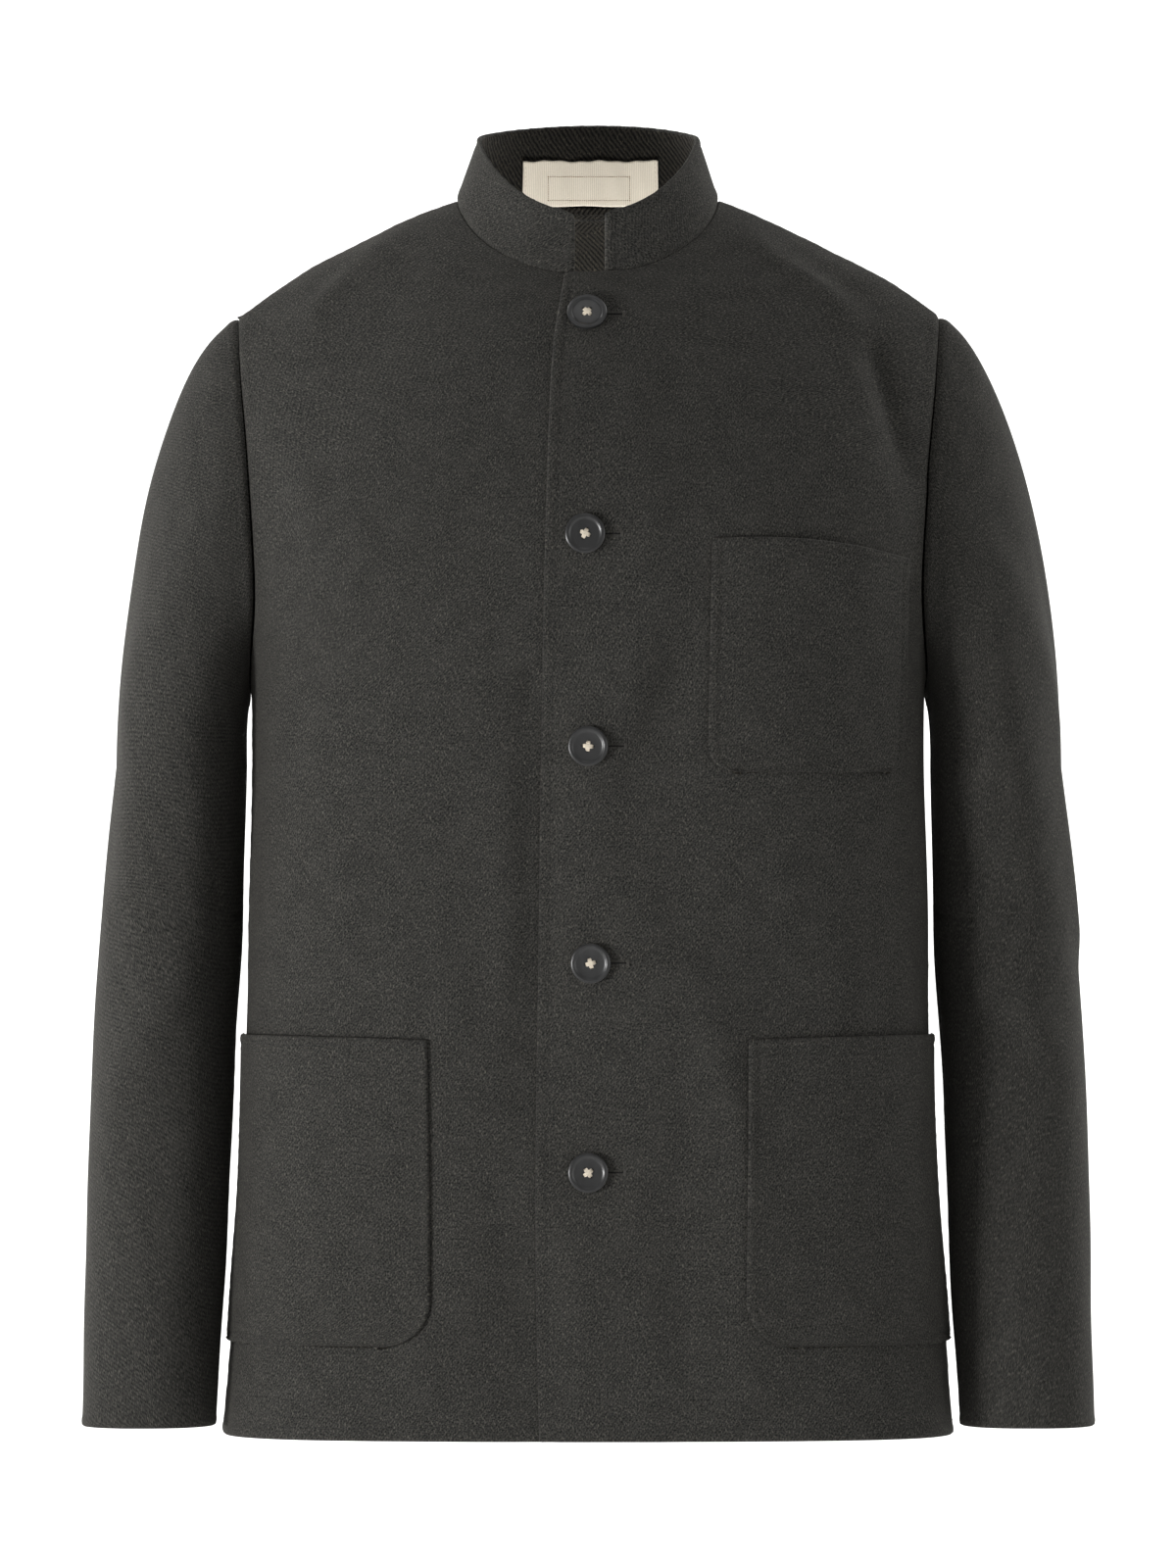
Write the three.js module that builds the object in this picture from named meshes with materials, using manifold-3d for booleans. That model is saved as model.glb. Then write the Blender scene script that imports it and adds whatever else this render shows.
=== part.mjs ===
// A men's stand-collar jacket in wool flannel, buttoned up, as it stands when it is worn.
// Each cloth piece is a wall: a grid of outer points, and the same grid moved in by the cloth's thickness.
// Millimetres. +Z is up, -Y is the front, and +X is the wearer's left, the side that laps on top.
// The origin is the middle of the neck opening, level with the points where shoulder seams meet collar.
import * as THREE from "three";
import Module from "manifold-3d";

// Driving sizes
const CLOTH = 1.8;
const COLLAR_CLOTH = 2.6;
const LABEL_CLOTH = 0.8;
const SEAM = 0.3;
const LYING_GAP = 0.5;
const POCKET_GAP = 0.7;
const HEM_Z = -721;
const UNDERARM_Z = -290;
const NECK_HALF_WIDTH = 77;
const SIDE_SEAM_Y = 8;
const CUFF_Z = -716;
const CAP_END_Z = -332;
const LAP_FLAT_TO_X = 30;
const LAP_GONE_BY_X = 62;
const TURN = Math.PI / 180;

// The body as level rings: half its width, how far it reaches to front and back, and how square it is.
// Above the underarm the half width is that of the whole shoulder, which the armhole cuts into.
const BODY = [
  { z: -722, halfWidth: 214, front: 117, back: 106, square: 3.1 },
  { z: -640, halfWidth: 207.5, front: 119, back: 104, square: 3.05 },
  { z: -560, halfWidth: 202.5, front: 121, back: 103, square: 3.0 },
  { z: -480, halfWidth: 200, front: 124, back: 104, square: 2.9 },
  { z: -390, halfWidth: 198.5, front: 129, back: 108, square: 2.8 },
  { z: -320, halfWidth: 197, front: 133, back: 114, square: 2.7 },
  { z: -270, halfWidth: 199, front: 135, back: 118, square: 2.6 },
  { z: -210, halfWidth: 209.5, front: 134, back: 120, square: 2.5 },
  { z: -150, halfWidth: 220, front: 130, back: 118, square: 2.4 },
  { z: -70, halfWidth: 232, front: 126, back: 113, square: 2.4 },
  { z: 12, halfWidth: 240, front: 124, back: 110, square: 2.4 },
];

// The shoulder line from the neck out, where front and back meet.
const SHOULDER = [
  { x: 0, z: 11 },
  { x: 40, z: 8 },
  { x: 77, z: 0 },
  { x: 105, z: -11 },
  { x: 140, z: -28 },
  { x: 175, z: -46.5 },
  { x: 209, z: -71 },
  { x: 245, z: -105 },
];

// How the cloth rounds over the shoulder: the height over which it reaches its full depth, and how fully.
const FRONT_ROUND = { height: 200, power: 1.6 };
const BACK_ROUND = { height: 217, power: 2.2 };

// The lapping front's free edge, past the centre line.
const LAP_EDGE = [
  { z: -722, x: -27.5 },
  { z: -600, x: -29.7 },
  { z: -430, x: -27.8 },
  { z: -300, x: -26 },
  { z: -170, x: -23 },
  { z: -90, x: -19.5 },
  { z: -46, x: -13 },
];

// The lapped front's free edge under it, on its own mirrored side.
const UNDERLAP_EDGE = [
  { z: -722, x: -26 },
  { z: -110, x: -26 },
  { z: -80, x: -21 },
  { z: -46, x: -8 },
];

// The armhole, as turns from the centre front, at the shoulder and at the side seam below.
const ARMHOLE = { frontTurn: 71 * TURN, backTurn: 107.15 * TURN, hook: 8 };

// The sleeve as level rings below its cap: outer and inner side, middle, half its depth, and how square.
const SLEEVE = [
  { z: -332, outer: 277.0, inner: 200.5, middle: 8, depth: 73, square: 2.15 },
  { z: -400, outer: 284.0, inner: 202.5, middle: 11, depth: 67, square: 2.2 },
  { z: -440, outer: 287.2, inner: 203.6, middle: 12, depth: 63, square: 2.2 },
  { z: -490, outer: 290.3, inner: 206.5, middle: 8, depth: 59, square: 2.2 },
  { z: -560, outer: 292.8, inner: 209.5, middle: 0, depth: 54, square: 2.25 },
  { z: -640, outer: 294.8, inner: 213.2, middle: -11, depth: 50, square: 2.3 },
  { z: -716, outer: 296.0, inner: 217.8, middle: -19, depth: 47, square: 2.35 },
];
// The cap leaves the armhole and comes to the arm along these, as shares of the way between the two.
const CAP_START = {
  shoulder: { out: 0.52, front: 0, down: 0.24 },
  front: { out: 0.46, front: 0.16, down: 0.3 },
  underarm: { out: 0.2, front: 0, down: 0.7 },
  back: { out: 0.46, front: -0.2, down: 0.3 },
};
const CAP_END_PULL = 0.96;

// The collar's upper edge: half its width, its reach to front and back, and its height round the neck.
const COLLAR_TOP = { halfWidth: 64.4, front: 70, back: 48, sideZ: 37.4, frontDrop: 47.4, backRise: 8.6 };
// How far the neck seam dips: to the front by a slope and a bowl, and a little at the back.
const NECK_DIP = { slope: 20, bowl: 26, back: 7, soft: 0.25 };
const COLLAR_END = { leftX: 11, rightX: -9, rightRound: 5, leftRound: 2 };
const COLLAR_SEAM = 0.5;

// The patch pockets: the mouth at the top, the two sides from mouth to bottom, and the bottom's round corners.
const POCKET_GAPE = 2.2;
const CHEST_POCKET = {
  mouthZ: { inner: -201, outer: -212 }, mouthBow: 4, bottomZ: -335,
  innerX: [72, 69.5], outerX: [186, 181], innerRound: 16, outerRound: 13,
};
const HIP_POCKET = {
  mouthZ: { inner: -490, outer: -489 }, mouthBow: 1, bottomZ: -667,
  innerX: [93, 91.5], sideY: 4, innerRound: 27, outerRound: 10,
};

const BUTTON = {
  radius: 11.5, thick: 3.4, rim: 2.4, dish: 0.9, edgeRound: 0.7, hole: 1.05, holeFromMiddle: 1.9, seat: 0.35,
};
const BUTTONS = [
  { z: -71, x: -0.5 },
  { z: -198, x: -1.7 },
  { z: -320, x: 0.3 },
  { z: -445, x: 1.7 },
  { z: -566, x: 0 },
];
const LABEL_GAP = 0.5;
const LABEL = { halfWidth: 41.5, middleX: 1.5, lowZ: -0.5, highZ: 25.5 };

// Soft folds on the fronts and the back, each along a line from one point to another as seen from the front.
// Height is how far the cloth stands out, and less than nothing is a hollow.
const FRONT_FOLDS = [
  { x0: -48, z0: -275, x1: -50, z1: -540, width: 18, height: -3.0 },
  { x0: -84, z0: -250, x1: -82, z1: -520, width: 24, height: 2.6 },
  { x0: -62, z0: -600, x1: -104, z1: -705, width: 20, height: 3.2 },
  { x0: -52, z0: -610, x1: -58, z1: -722, width: 18, height: -2.6 },
  { x0: 34, z0: -255, x1: 14, z1: -365, width: 19, height: -1.8 },
  { x0: 60, z0: -270, x1: 40, z1: -420, width: 20, height: 2.2 },
  { x0: 55, z0: -440, x1: 88, z1: -560, width: 20, height: 3.0 },
  { x0: 88, z0: -560, x1: 96, z1: -700, width: 18, height: 2.4 },
  { x0: -118, z0: -24, x1: -165, z1: -72, width: 9, height: 1.8 },
  { x0: 96, z0: -18, x1: 160, z1: -76, width: 9, height: 2.0 },
  { x0: 165, z0: -84, x1: 186, z1: -165, width: 11, height: -3.4 },
  { x0: 150, z0: -120, x1: 176, z1: -190, width: 13, height: 1.8 },
  { x0: -150, z0: -330, x1: -138, z1: -470, width: 26, height: 1.6 },
];
const BACK_FOLDS = [
  { x0: -112, z0: -190, x1: -128, z1: -722, width: 26, height: 3.2 },
  { x0: -58, z0: -330, x1: -66, z1: -722, width: 22, height: -2.8 },
  { x0: 10, z0: -300, x1: -4, z1: -722, width: 28, height: 2.4 },
  { x0: 64, z0: -360, x1: 72, z1: -722, width: 20, height: -3.0 },
  { x0: 118, z0: -200, x1: 126, z1: -722, width: 26, height: 3.0 },
  { x0: -150, z0: -110, x1: -120, z1: -230, width: 14, height: -2.2 },
  { x0: 152, z0: -116, x1: 124, z1: -220, width: 14, height: -2.0 },
  { x0: -70, z0: -34, x1: 66, z1: -36, width: 12, height: -1.2 },
];
// Folds on the sleeves, by degrees of turn from the outer side towards the front, and height.
const LEFT_SLEEVE_FOLDS = [
  { turn0: 66, z0: -205, turn1: 34, z1: -320, width: 16, height: 2.4 },
  { turn0: 40, z0: -320, turn1: 14, z1: -440, width: 15, height: 2.6 },
  { turn0: 125, z0: -380, turn1: 62, z1: -428, width: 13, height: -2.6 },
  { turn0: 112, z0: -450, turn1: 44, z1: -520, width: 15, height: 2.2 },
  { turn0: -60, z0: -395, turn1: -140, z1: -440, width: 14, height: 2.6 },
  { turn0: -70, z0: -450, turn1: -135, z1: -400, width: 13, height: -2.2 },
  { turn0: 96, z0: -560, turn1: 84, z1: -700, width: 18, height: 1.8 },
  { turn0: -100, z0: -560, turn1: -84, z1: -700, width: 18, height: 1.8 },
];
const RIGHT_SLEEVE_FOLDS = [
  { turn0: 74, z0: -190, turn1: 50, z1: -310, width: 15, height: 1.8 },
  { turn0: 60, z0: -300, turn1: 70, z1: -430, width: 14, height: 2.2 },
  { turn0: 120, z0: -400, turn1: 52, z1: -425, width: 12, height: -2.4 },
  { turn0: 100, z0: -440, turn1: 56, z1: -545, width: 16, height: 2.4 },
  { turn0: -66, z0: -380, turn1: -138, z1: -432, width: 14, height: 2.4 },
  { turn0: -64, z0: -462, turn1: -130, z1: -418, width: 13, height: -2.4 },
  { turn0: 86, z0: -575, turn1: 94, z1: -700, width: 18, height: 2.0 },
  { turn0: -92, z0: -550, turn1: -96, z1: -700, width: 20, height: 1.6 },
];

const mix = (a, b, t) => a + (b - a) * t;
const clamp = (v) => Math.min(1, Math.max(0, v));
const smooth = (v) => clamp(v) ** 2 * (3 - 2 * clamp(v));

// A smooth curve through one column of a table, by another.
function curveOf(table, by, name) {
  const rows = [...table].sort((a, b) => a[by] - b[by]);
  const at = rows.map((r) => r[by]);
  const value = rows.map((r) => r[name]);
  const last = rows.length - 1;
  const slope = rows.map((_, i) => {
    const a = Math.max(0, i - 1);
    const b = Math.min(last, i + 1);
    return (value[b] - value[a]) / (at[b] - at[a]);
  });
  return (v) => {
    if (v <= at[0]) return value[0];
    if (v >= at[last]) return value[last];
    const i = at.findIndex((edge) => v < edge) - 1;
    const span = at[i + 1] - at[i];
    const t = (v - at[i]) / span;
    return (
      value[i] * (2 * t ** 3 - 3 * t * t + 1) +
      slope[i] * span * (t ** 3 - 2 * t * t + t) +
      value[i + 1] * (3 * t * t - 2 * t ** 3) +
      slope[i + 1] * span * (t ** 3 - t * t)
    );
  };
}

const halfWidth = curveOf(BODY, "z", "halfWidth");
const frontReach = curveOf(BODY, "z", "front");
const backReach = curveOf(BODY, "z", "back");
const square = curveOf(BODY, "z", "square");
const shoulderZ = curveOf(SHOULDER, "x", "z");
const lapEdgeX = curveOf(LAP_EDGE, "z", "x");
const underlapEdgeX = curveOf(UNDERLAP_EDGE, "z", "x");

// How far a soft fold lifts the cloth at a point, tapering at both of its ends.
function foldLift(folds, a, b, names) {
  let lift = 0;
  for (const fold of folds) {
    const [a0, b0, a1, b1] = names.map((name) => fold[name]);
    const da = a1 - a0;
    const db = b1 - b0;
    const long = Math.hypot(da, db);
    const along = ((a - a0) * da + (b - b0) * db) / long;
    const aside = ((a - a0) * db - (b - b0) * da) / long;
    const taper = Math.min(long / 2, 2 * fold.width);
    const ends = smooth((along + taper / 2) / taper) * smooth((long + taper / 2 - along) / taper);
    lift += fold.height * ends * Math.exp(-((aside / fold.width) ** 2));
  }
  return lift;
}

const rounding = (drop, { height, power }) =>
  (1 - (1 - clamp(drop / height)) ** power) ** (1 / power);

// The body without its folds. The turn goes from the centre front, through the side, to the centre back.
function plainBody(turn, z) {
  const s = Math.sin(turn);
  const c = Math.cos(turn);
  const n = square(z);
  const reach = c >= 0 ? frontReach(z) : backReach(z);
  const r = ((Math.abs(s) / halfWidth(z)) ** n + (Math.abs(c) / reach) ** n) ** (-1 / n);
  const x = r * s;
  const round = rounding(shoulderZ(Math.abs(x)) - z, c >= 0 ? FRONT_ROUND : BACK_ROUND);
  return new THREE.Vector3(x, -r * c * round, z);
}

function bodyNormal(turn, z) {
  const step = 0.004;
  const across = plainBody(turn + step, z).sub(plainBody(turn - step, z));
  const up = plainBody(turn, z + 1).sub(plainBody(turn, z - 1));
  return across.cross(up).normalize();
}

// The body's outer face, raised by some distance, with its folds. The wearer's right side is made in mirror
// image, with side -1.
function body(turn, z, raised = 0, side = 1) {
  const p = plainBody(turn, z);
  const toSide = clamp(Math.abs(Math.cos(turn)) * 5);
  const nearShoulder = clamp((shoulderZ(Math.abs(p.x)) - z) / 25);
  const folds = Math.cos(turn) >= 0 ? FRONT_FOLDS : BACK_FOLDS;
  const lift = foldLift(folds, side * p.x, z, ["x0", "z0", "x1", "z1"]) * toSide * nearShoulder;
  return Math.abs(lift) + raised < 1e-6 ? p : p.addScaledVector(bodyNormal(turn, z), lift + raised);
}

// The turn at which the body has a given x in front, or a given y at the side or behind.
function turnAtX(x, z) {
  const n = square(z);
  const depth = frontReach(z) * (1 - (Math.abs(x) / halfWidth(z)) ** n) ** (1 / n);
  return Math.atan2(x, depth);
}
function turnAtY(y, z) {
  const n = square(z);
  const reach = y < 0 ? frontReach(z) : backReach(z);
  return Math.atan2(halfWidth(z) * (1 - (Math.abs(y) / reach) ** n) ** (1 / n), -y);
}

// Places on the neck seam, by turn round the neck from the centre front.
function neckSeam(turn) {
  const c = Math.cos(turn);
  const { slope, bowl, back, soft } = NECK_DIP;
  const bend = (Math.hypot(c, soft) - soft) / (Math.hypot(1, soft) - soft);
  const z = c >= 0 ? -slope * c - bowl * bend : -back * bend;
  const x = NECK_HALF_WIDTH * Math.sin(turn);
  const n = square(z);
  const reach = c >= 0 ? frontReach(z) : backReach(z);
  const depth = reach * (1 - (Math.abs(x) / halfWidth(z)) ** n) ** (1 / n);
  return { turn: Math.atan2(x, c >= 0 ? depth : -depth), z };
}

// Places on the armhole from the shoulder (0) to the side seam (1).
function armhole(share, isFront) {
  const top = isFront ? ARMHOLE.frontTurn : ARMHOLE.backTurn;
  let shoulder = UNDERARM_Z;
  for (let i = 0; i < 12; i += 1) shoulder = shoulderZ(plainBody(top, shoulder).x);
  const side = turnAtY(SIDE_SEAM_Y, UNDERARM_Z);
  const fall = (1 - Math.cos(Math.PI * share)) / 2;
  return { turn: mix(top, side, fall ** ARMHOLE.hook), z: mix(shoulder, UNDERARM_Z, fall) };
}

// Shares of a curve that cut it into equal lengths.
function evenShares(curve, count, from = 0, to = 1) {
  const samples = 120;
  const lengths = [0];
  let before = curve(from);
  for (let i = 1; i <= samples; i += 1) {
    const here = curve(mix(from, to, i / samples));
    lengths.push(lengths[i - 1] + here.distanceTo(before));
    before = here;
  }
  return Array.from({ length: count + 1 }, (_, k) => {
    const want = (lengths[samples] * k) / count;
    const i = Math.max(1, lengths.findIndex((long) => long >= want - 1e-9));
    const part = (want - lengths[i - 1]) / (lengths[i] - lengths[i - 1]);
    return mix(from, to, (i - 1 + part) / samples);
  });
}

// A line across the body between two places. It is level low down and where the fronts lap, and near the
// shoulder follows the top line.
const LAP_TURN = 0.23;
function bodyLine(start, end, follow, topLine, raise = () => 0, side = 1) {
  const dropAt = (place) => topLine(plainBody(place.turn, place.z).x) - place.z;
  const startDrop = dropAt(start);
  const endDrop = dropAt(end);
  const leaves = Math.abs(start.turn) < LAP_TURN ? LAP_TURN : start.turn;
  return (share) => {
    const turn = mix(start.turn, end.turn, share);
    const past = clamp((turn - leaves) / (end.turn - leaves));
    const level = mix(start.z, end.z, past);
    let z = level;
    for (let i = 0; i < 30; i += 1) {
      const x = plainBody(turn, z).x;
      z = mix(z, mix(level, topLine(x) - mix(startDrop, endDrop, past), follow), 0.4);
    }
    return body(turn, z, raise(plainBody(turn, z).x), side);
  };
}

// A closed wall from a grid of outer points, thick towards the side that its normals leave. On a seam between
// front and back the wall is cut square to the line from front to back.
const onSideOrShoulder = (p) => Math.abs(p.y) < SEAM || Math.abs(p.y - SIDE_SEAM_Y) < SEAM;
function wallGeometry(rows, thick, { isTube = false, isPanel = false } = {}) {
  const high = rows.length;
  const wide = rows[0].length;
  const at = (i, j) => rows[Math.min(high - 1, Math.max(0, i))][
    isTube ? (j + wide) % wide : Math.min(wide - 1, Math.max(0, j))];
  const outer = [];
  const inner = [];
  for (let i = 0; i < high; i += 1) {
    for (let j = 0; j < wide; j += 1) {
      const across = at(i, j + 1).clone().sub(at(i, j - 1));
      const up = at(i + 1, j).clone().sub(at(i - 1, j));
      const normal = across.cross(up);
      if (isPanel && onSideOrShoulder(at(i, j))) normal.y = 0;
      normal.normalize();
      outer.push(at(i, j));
      inner.push(at(i, j).clone().addScaledVector(normal, -thick));
    }
  }
  const points = [...outer, ...inner];
  const back = outer.length;
  const index = [];
  const quad = (a, b, c, d) => index.push(a, b, c, a, c, d);
  const id = (i, j) => i * wide + (isTube ? j % wide : j);
  for (let i = 0; i < high - 1; i += 1) {
    for (let j = 0; j < (isTube ? wide : wide - 1); j += 1) {
      const [a, b, c, d] = [id(i, j), id(i, j + 1), id(i + 1, j + 1), id(i + 1, j)];
      const isCutAlongAC = points[a].distanceTo(points[c]) <= points[b].distanceTo(points[d]);
      if (isCutAlongAC) {
        quad(a, b, c, d);
        quad(back + a, back + d, back + c, back + b);
      } else {
        quad(b, c, d, a);
        quad(back + d, back + c, back + b, back + a);
      }
    }
  }
  for (let j = 0; j < (isTube ? wide : wide - 1); j += 1) {
    quad(id(0, j), back + id(0, j), back + id(0, j + 1), id(0, j + 1));
    const top = high - 1;
    quad(id(top, j), id(top, j + 1), back + id(top, j + 1), back + id(top, j));
  }
  if (!isTube) {
    const side = wide - 1;
    for (let i = 0; i < high - 1; i += 1) {
      quad(id(i, 0), id(i + 1, 0), back + id(i + 1, 0), back + id(i, 0));
      quad(id(i, side), back + id(i, side), back + id(i + 1, side), id(i + 1, side));
    }
  }
  const geometry = new THREE.BufferGeometry();
  geometry.setAttribute("position", new THREE.Float32BufferAttribute(points.flatMap((p) => p.toArray()), 3));
  geometry.setIndex(index);
  return geometry;
}

const mirrored = (rows) =>
  rows.map((row) => row.map((p) => new THREE.Vector3(-p.x, p.y, p.z)).reverse());

// A front, on the wearer's left. Its inner boundary is the free edge and then the neck seam, its outer one
// the side seam and then the armhole, and its top the shoulder seam. The columns crowd towards the free edge,
// where one front lies on the other.
const FRONT_GRID = { across: 16, below: 11, edge: 9, neck: 9, crowd: 1.2 };
const EDGE_TOP_Z = -46;
const neckStartOf = (edgeX) => Math.asin(edgeX(EDGE_TOP_Z) / NECK_HALF_WIDTH);
const frontNeckTurns = (edgeX) => Array.from({ length: FRONT_GRID.neck + 1 }, (_, k) =>
  mix(neckStartOf(edgeX), Math.PI / 2, k / FRONT_GRID.neck));
function frontArmShares() {
  const curve = (share) => plainBody(armhole(1 - share, true).turn, armhole(1 - share, true).z);
  return evenShares(curve, FRONT_GRID.edge + FRONT_GRID.neck);
}
function frontRows(edgeX, side, raise) {
  const rows = [];
  const { across, below, edge, neck } = FRONT_GRID;
  const line = (start, end, follow) => {
    const curve = bodyLine(start, end, follow, (x) => shoulderZ(Math.abs(x)), raise, side);
    const shares = evenShares(curve, across);
    return Array.from({ length: across + 1 }, (_, j) => {
      const warped = across * (j / across) ** FRONT_GRID.crowd;
      const k = Math.min(across - 1, Math.floor(warped));
      return curve(mix(shares[k], shares[k + 1], warped - k));
    });
  };
  for (let i = 0; i < below; i += 1) {
    const z = mix(HEM_Z, UNDERARM_Z, i / below);
    const seam = turnAtY(SIDE_SEAM_Y - SEAM / 2, z);
    rows.push(line({ turn: turnAtX(edgeX(z), z), z }, { turn: seam, z }, 0));
  }
  const neckTurns = frontNeckTurns(edgeX);
  const armShares = frontArmShares();
  for (let i = 0; i <= edge + neck; i += 1) {
    const up = i / (edge + neck);
    const z = mix(UNDERARM_Z, EDGE_TOP_Z, i / edge);
    const start = i < edge ? { turn: turnAtX(edgeX(z), z), z } : neckSeam(neckTurns[i - edge]);
    const end = i === 0
      ? { turn: turnAtY(SIDE_SEAM_Y - SEAM / 2, UNDERARM_Z), z: UNDERARM_Z }
      : armhole(1 - armShares[i], true);
    rows.push(line(start, end, smooth(up)));
  }
  for (const p of rows.at(-1)) p.y = Math.min(p.y, -SEAM / 2);
  return rows;
}

// The back, one piece from side seam to side seam.
const BACK_GRID = { neck: 6, shoulder: 7, below: 11, arm: 10 };
const backNeckTurns = Array.from({ length: BACK_GRID.neck + 1 }, (_, k) =>
  mix(Math.PI, Math.PI / 2, k / BACK_GRID.neck));
function backArmShares() {
  const curve = (share) => plainBody(armhole(1 - share, false).turn, armhole(1 - share, false).z);
  return evenShares(curve, BACK_GRID.arm);
}
function backRows() {
  const rows = [];
  const { neck, shoulder, below, arm } = BACK_GRID;
  const neckZ = (x) => neckSeam(Math.PI - Math.asin(clamp(Math.abs(x) / NECK_HALF_WIDTH))).z;
  const topLine = (x) => (Math.abs(x) < NECK_HALF_WIDTH ? neckZ(x) : shoulderZ(Math.abs(x)));
  const halfRow = (start, end, follow) => {
    const curve = bodyLine(start, end, follow, topLine);
    const evenCorner = evenShares(curve, neck + shoulder)[neck];
    const samples = Array.from({ length: 401 }, (_, i) => i / 400);
    const neckCorner = samples.find((s) => Math.abs(curve(s).x) >= NECK_HALF_WIDTH) ?? evenCorner;
    const corner = mix(evenCorner, neckCorner, follow ** 2);
    const inner = evenShares(curve, neck, 0, corner);
    const outer = evenShares(curve, shoulder, corner, 1);
    return [...inner.slice(0, -1), ...outer].map(curve);
  };
  const wholeRow = (start, end, follow) => {
    const left = halfRow(start, end, follow);
    const right = halfRow({ ...start, turn: -start.turn }, { ...end, turn: -end.turn }, follow);
    return [...left.reverse(), ...right.slice(1)];
  };
  for (let i = 0; i < below; i += 1) {
    const z = mix(HEM_Z, UNDERARM_Z, i / below);
    rows.push(wholeRow({ turn: Math.PI, z }, { turn: turnAtY(SIDE_SEAM_Y + SEAM / 2, z), z }, 0));
  }
  const armShares = backArmShares();
  const neckBackZ = neckSeam(Math.PI).z;
  for (let i = 0; i < arm; i += 1) {
    const up = i / arm;
    const end = i === 0
      ? { turn: turnAtY(SIDE_SEAM_Y + SEAM / 2, UNDERARM_Z), z: UNDERARM_Z }
      : armhole(1 - armShares[i], false);
    rows.push(wholeRow({ turn: Math.PI, z: mix(UNDERARM_Z, neckBackZ, up) }, end, smooth(up)));
  }
  const tip = armhole(0, false);
  const tipX = plainBody(tip.turn, tip.z).x;
  const top = backNeckTurns.map((turn) => plainBody(neckSeam(turn).turn, neckSeam(turn).z));
  for (let k = 1; k <= shoulder; k += 1) {
    const x = mix(NECK_HALF_WIDTH, tipX, k / shoulder);
    top.push(new THREE.Vector3(x, 0, shoulderZ(x)));
  }
  for (const p of top) p.y = Math.max(p.y, SEAM / 2);
  rows.push([...[...top].reverse(), ...top.slice(1).map((p) => new THREE.Vector3(-p.x, p.y, p.z))]);
  return rows;
}

// A sleeve on the wearer's left, from the armhole down. The turn goes from the outer side over the front.
const sleeveAt = Object.fromEntries(
  ["outer", "inner", "middle", "depth", "square"].map((name) => [name, curveOf(SLEEVE, "z", name)]),
);
function sleeveRing(turn, z) {
  const middleX = (sleeveAt.outer(z) + sleeveAt.inner(z)) / 2;
  const half = (sleeveAt.outer(z) - sleeveAt.inner(z)) / 2;
  const n = sleeveAt.square(z);
  const s = Math.sin(turn);
  const c = Math.cos(turn);
  const r = ((Math.abs(c) / half) ** n + (Math.abs(s) / sleeveAt.depth(z)) ** n) ** (-1 / n);
  return new THREE.Vector3(middleX + r * c, sleeveAt.middle(z) - r * s, z);
}

// The way the cap's cloth sets off from the armhole at a turn.
function capStart(turn, name) {
  const weights = {
    shoulder: Math.max(0, Math.cos(turn)),
    front: Math.max(0, Math.sin(turn)),
    underarm: Math.max(0, -Math.cos(turn)),
    back: Math.max(0, -Math.sin(turn)),
  };
  return Object.keys(weights).reduce((sum, key) => sum + weights[key] ** 2 * CAP_START[key][name], 0);
}

// The cap takes one column from each place where a row of the front or back ends on the armhole.
const SLEEVE_GRID = { cap: 8, below: 12 };
const SLEEVE_SEAM = 0.4;
function sleeveColumns() {
  const front = frontArmShares().map((share, k, all) => (
    { isFront: true, share: 1 - share, turn: Math.PI * (1 - k / (all.length - 1)) }
  ));
  const back = backArmShares().map((share, k, all) => (
    { isFront: false, share: 1 - share, turn: Math.PI * (1 + k / (all.length - 1)) }
  ));
  return [...front.reverse(), ...back.slice(1, -1)];
}
function sleeveRows(folds, side) {
  const { cap, below } = SLEEVE_GRID;
  const columns = sleeveColumns();
  const rows = [];
  for (let i = 0; i <= cap + below; i += 1) {
    rows.push(columns.map(({ isFront, share, turn }) => {
      const degrees = (isFront ? turn : turn - 2 * Math.PI) / TURN;
      const hole = armhole(share, isFront);
      const start = body(hole.turn, hole.z, 0, side);
      const arm = sleeveRing(turn, CAP_END_Z);
      const z = mix(CAP_END_Z, CUFF_Z, (i - cap) / below);
      const way = start.distanceTo(arm);
      const setOff = new THREE.Vector3(
        capStart(turn, "out"), -capStart(turn, "front"), -capStart(turn, "down"),
      );
      const clear = setOff.clone().normalize().add(bodyNormal(hole.turn, hole.z)).setLength(SLEEVE_SEAM);
      start.add(clear);
      const fall = arm.clone().sub(sleeveRing(turn, CAP_END_Z + 1));
      const t = Math.min(1, i / cap) ** 1.15;
      const point = i > cap ? sleeveRing(turn, z) : new THREE.Vector3()
        .addScaledVector(start, 2 * t ** 3 - 3 * t * t + 1)
        .addScaledVector(setOff, way * (t ** 3 - 2 * t * t + t))
        .addScaledVector(arm, 3 * t * t - 2 * t ** 3)
        .addScaledVector(fall, way * CAP_END_PULL * (t ** 3 - t * t));
      const outward = new THREE.Vector3(Math.cos(turn), -Math.sin(turn), 0);
      const lift = foldLift(folds, degrees, point.z, ["turn0", "z0", "turn1", "z1"]);
      return point.addScaledVector(outward, lift * smooth((i - 1) / 3));
    }));
  }
  return rows;
}

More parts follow.
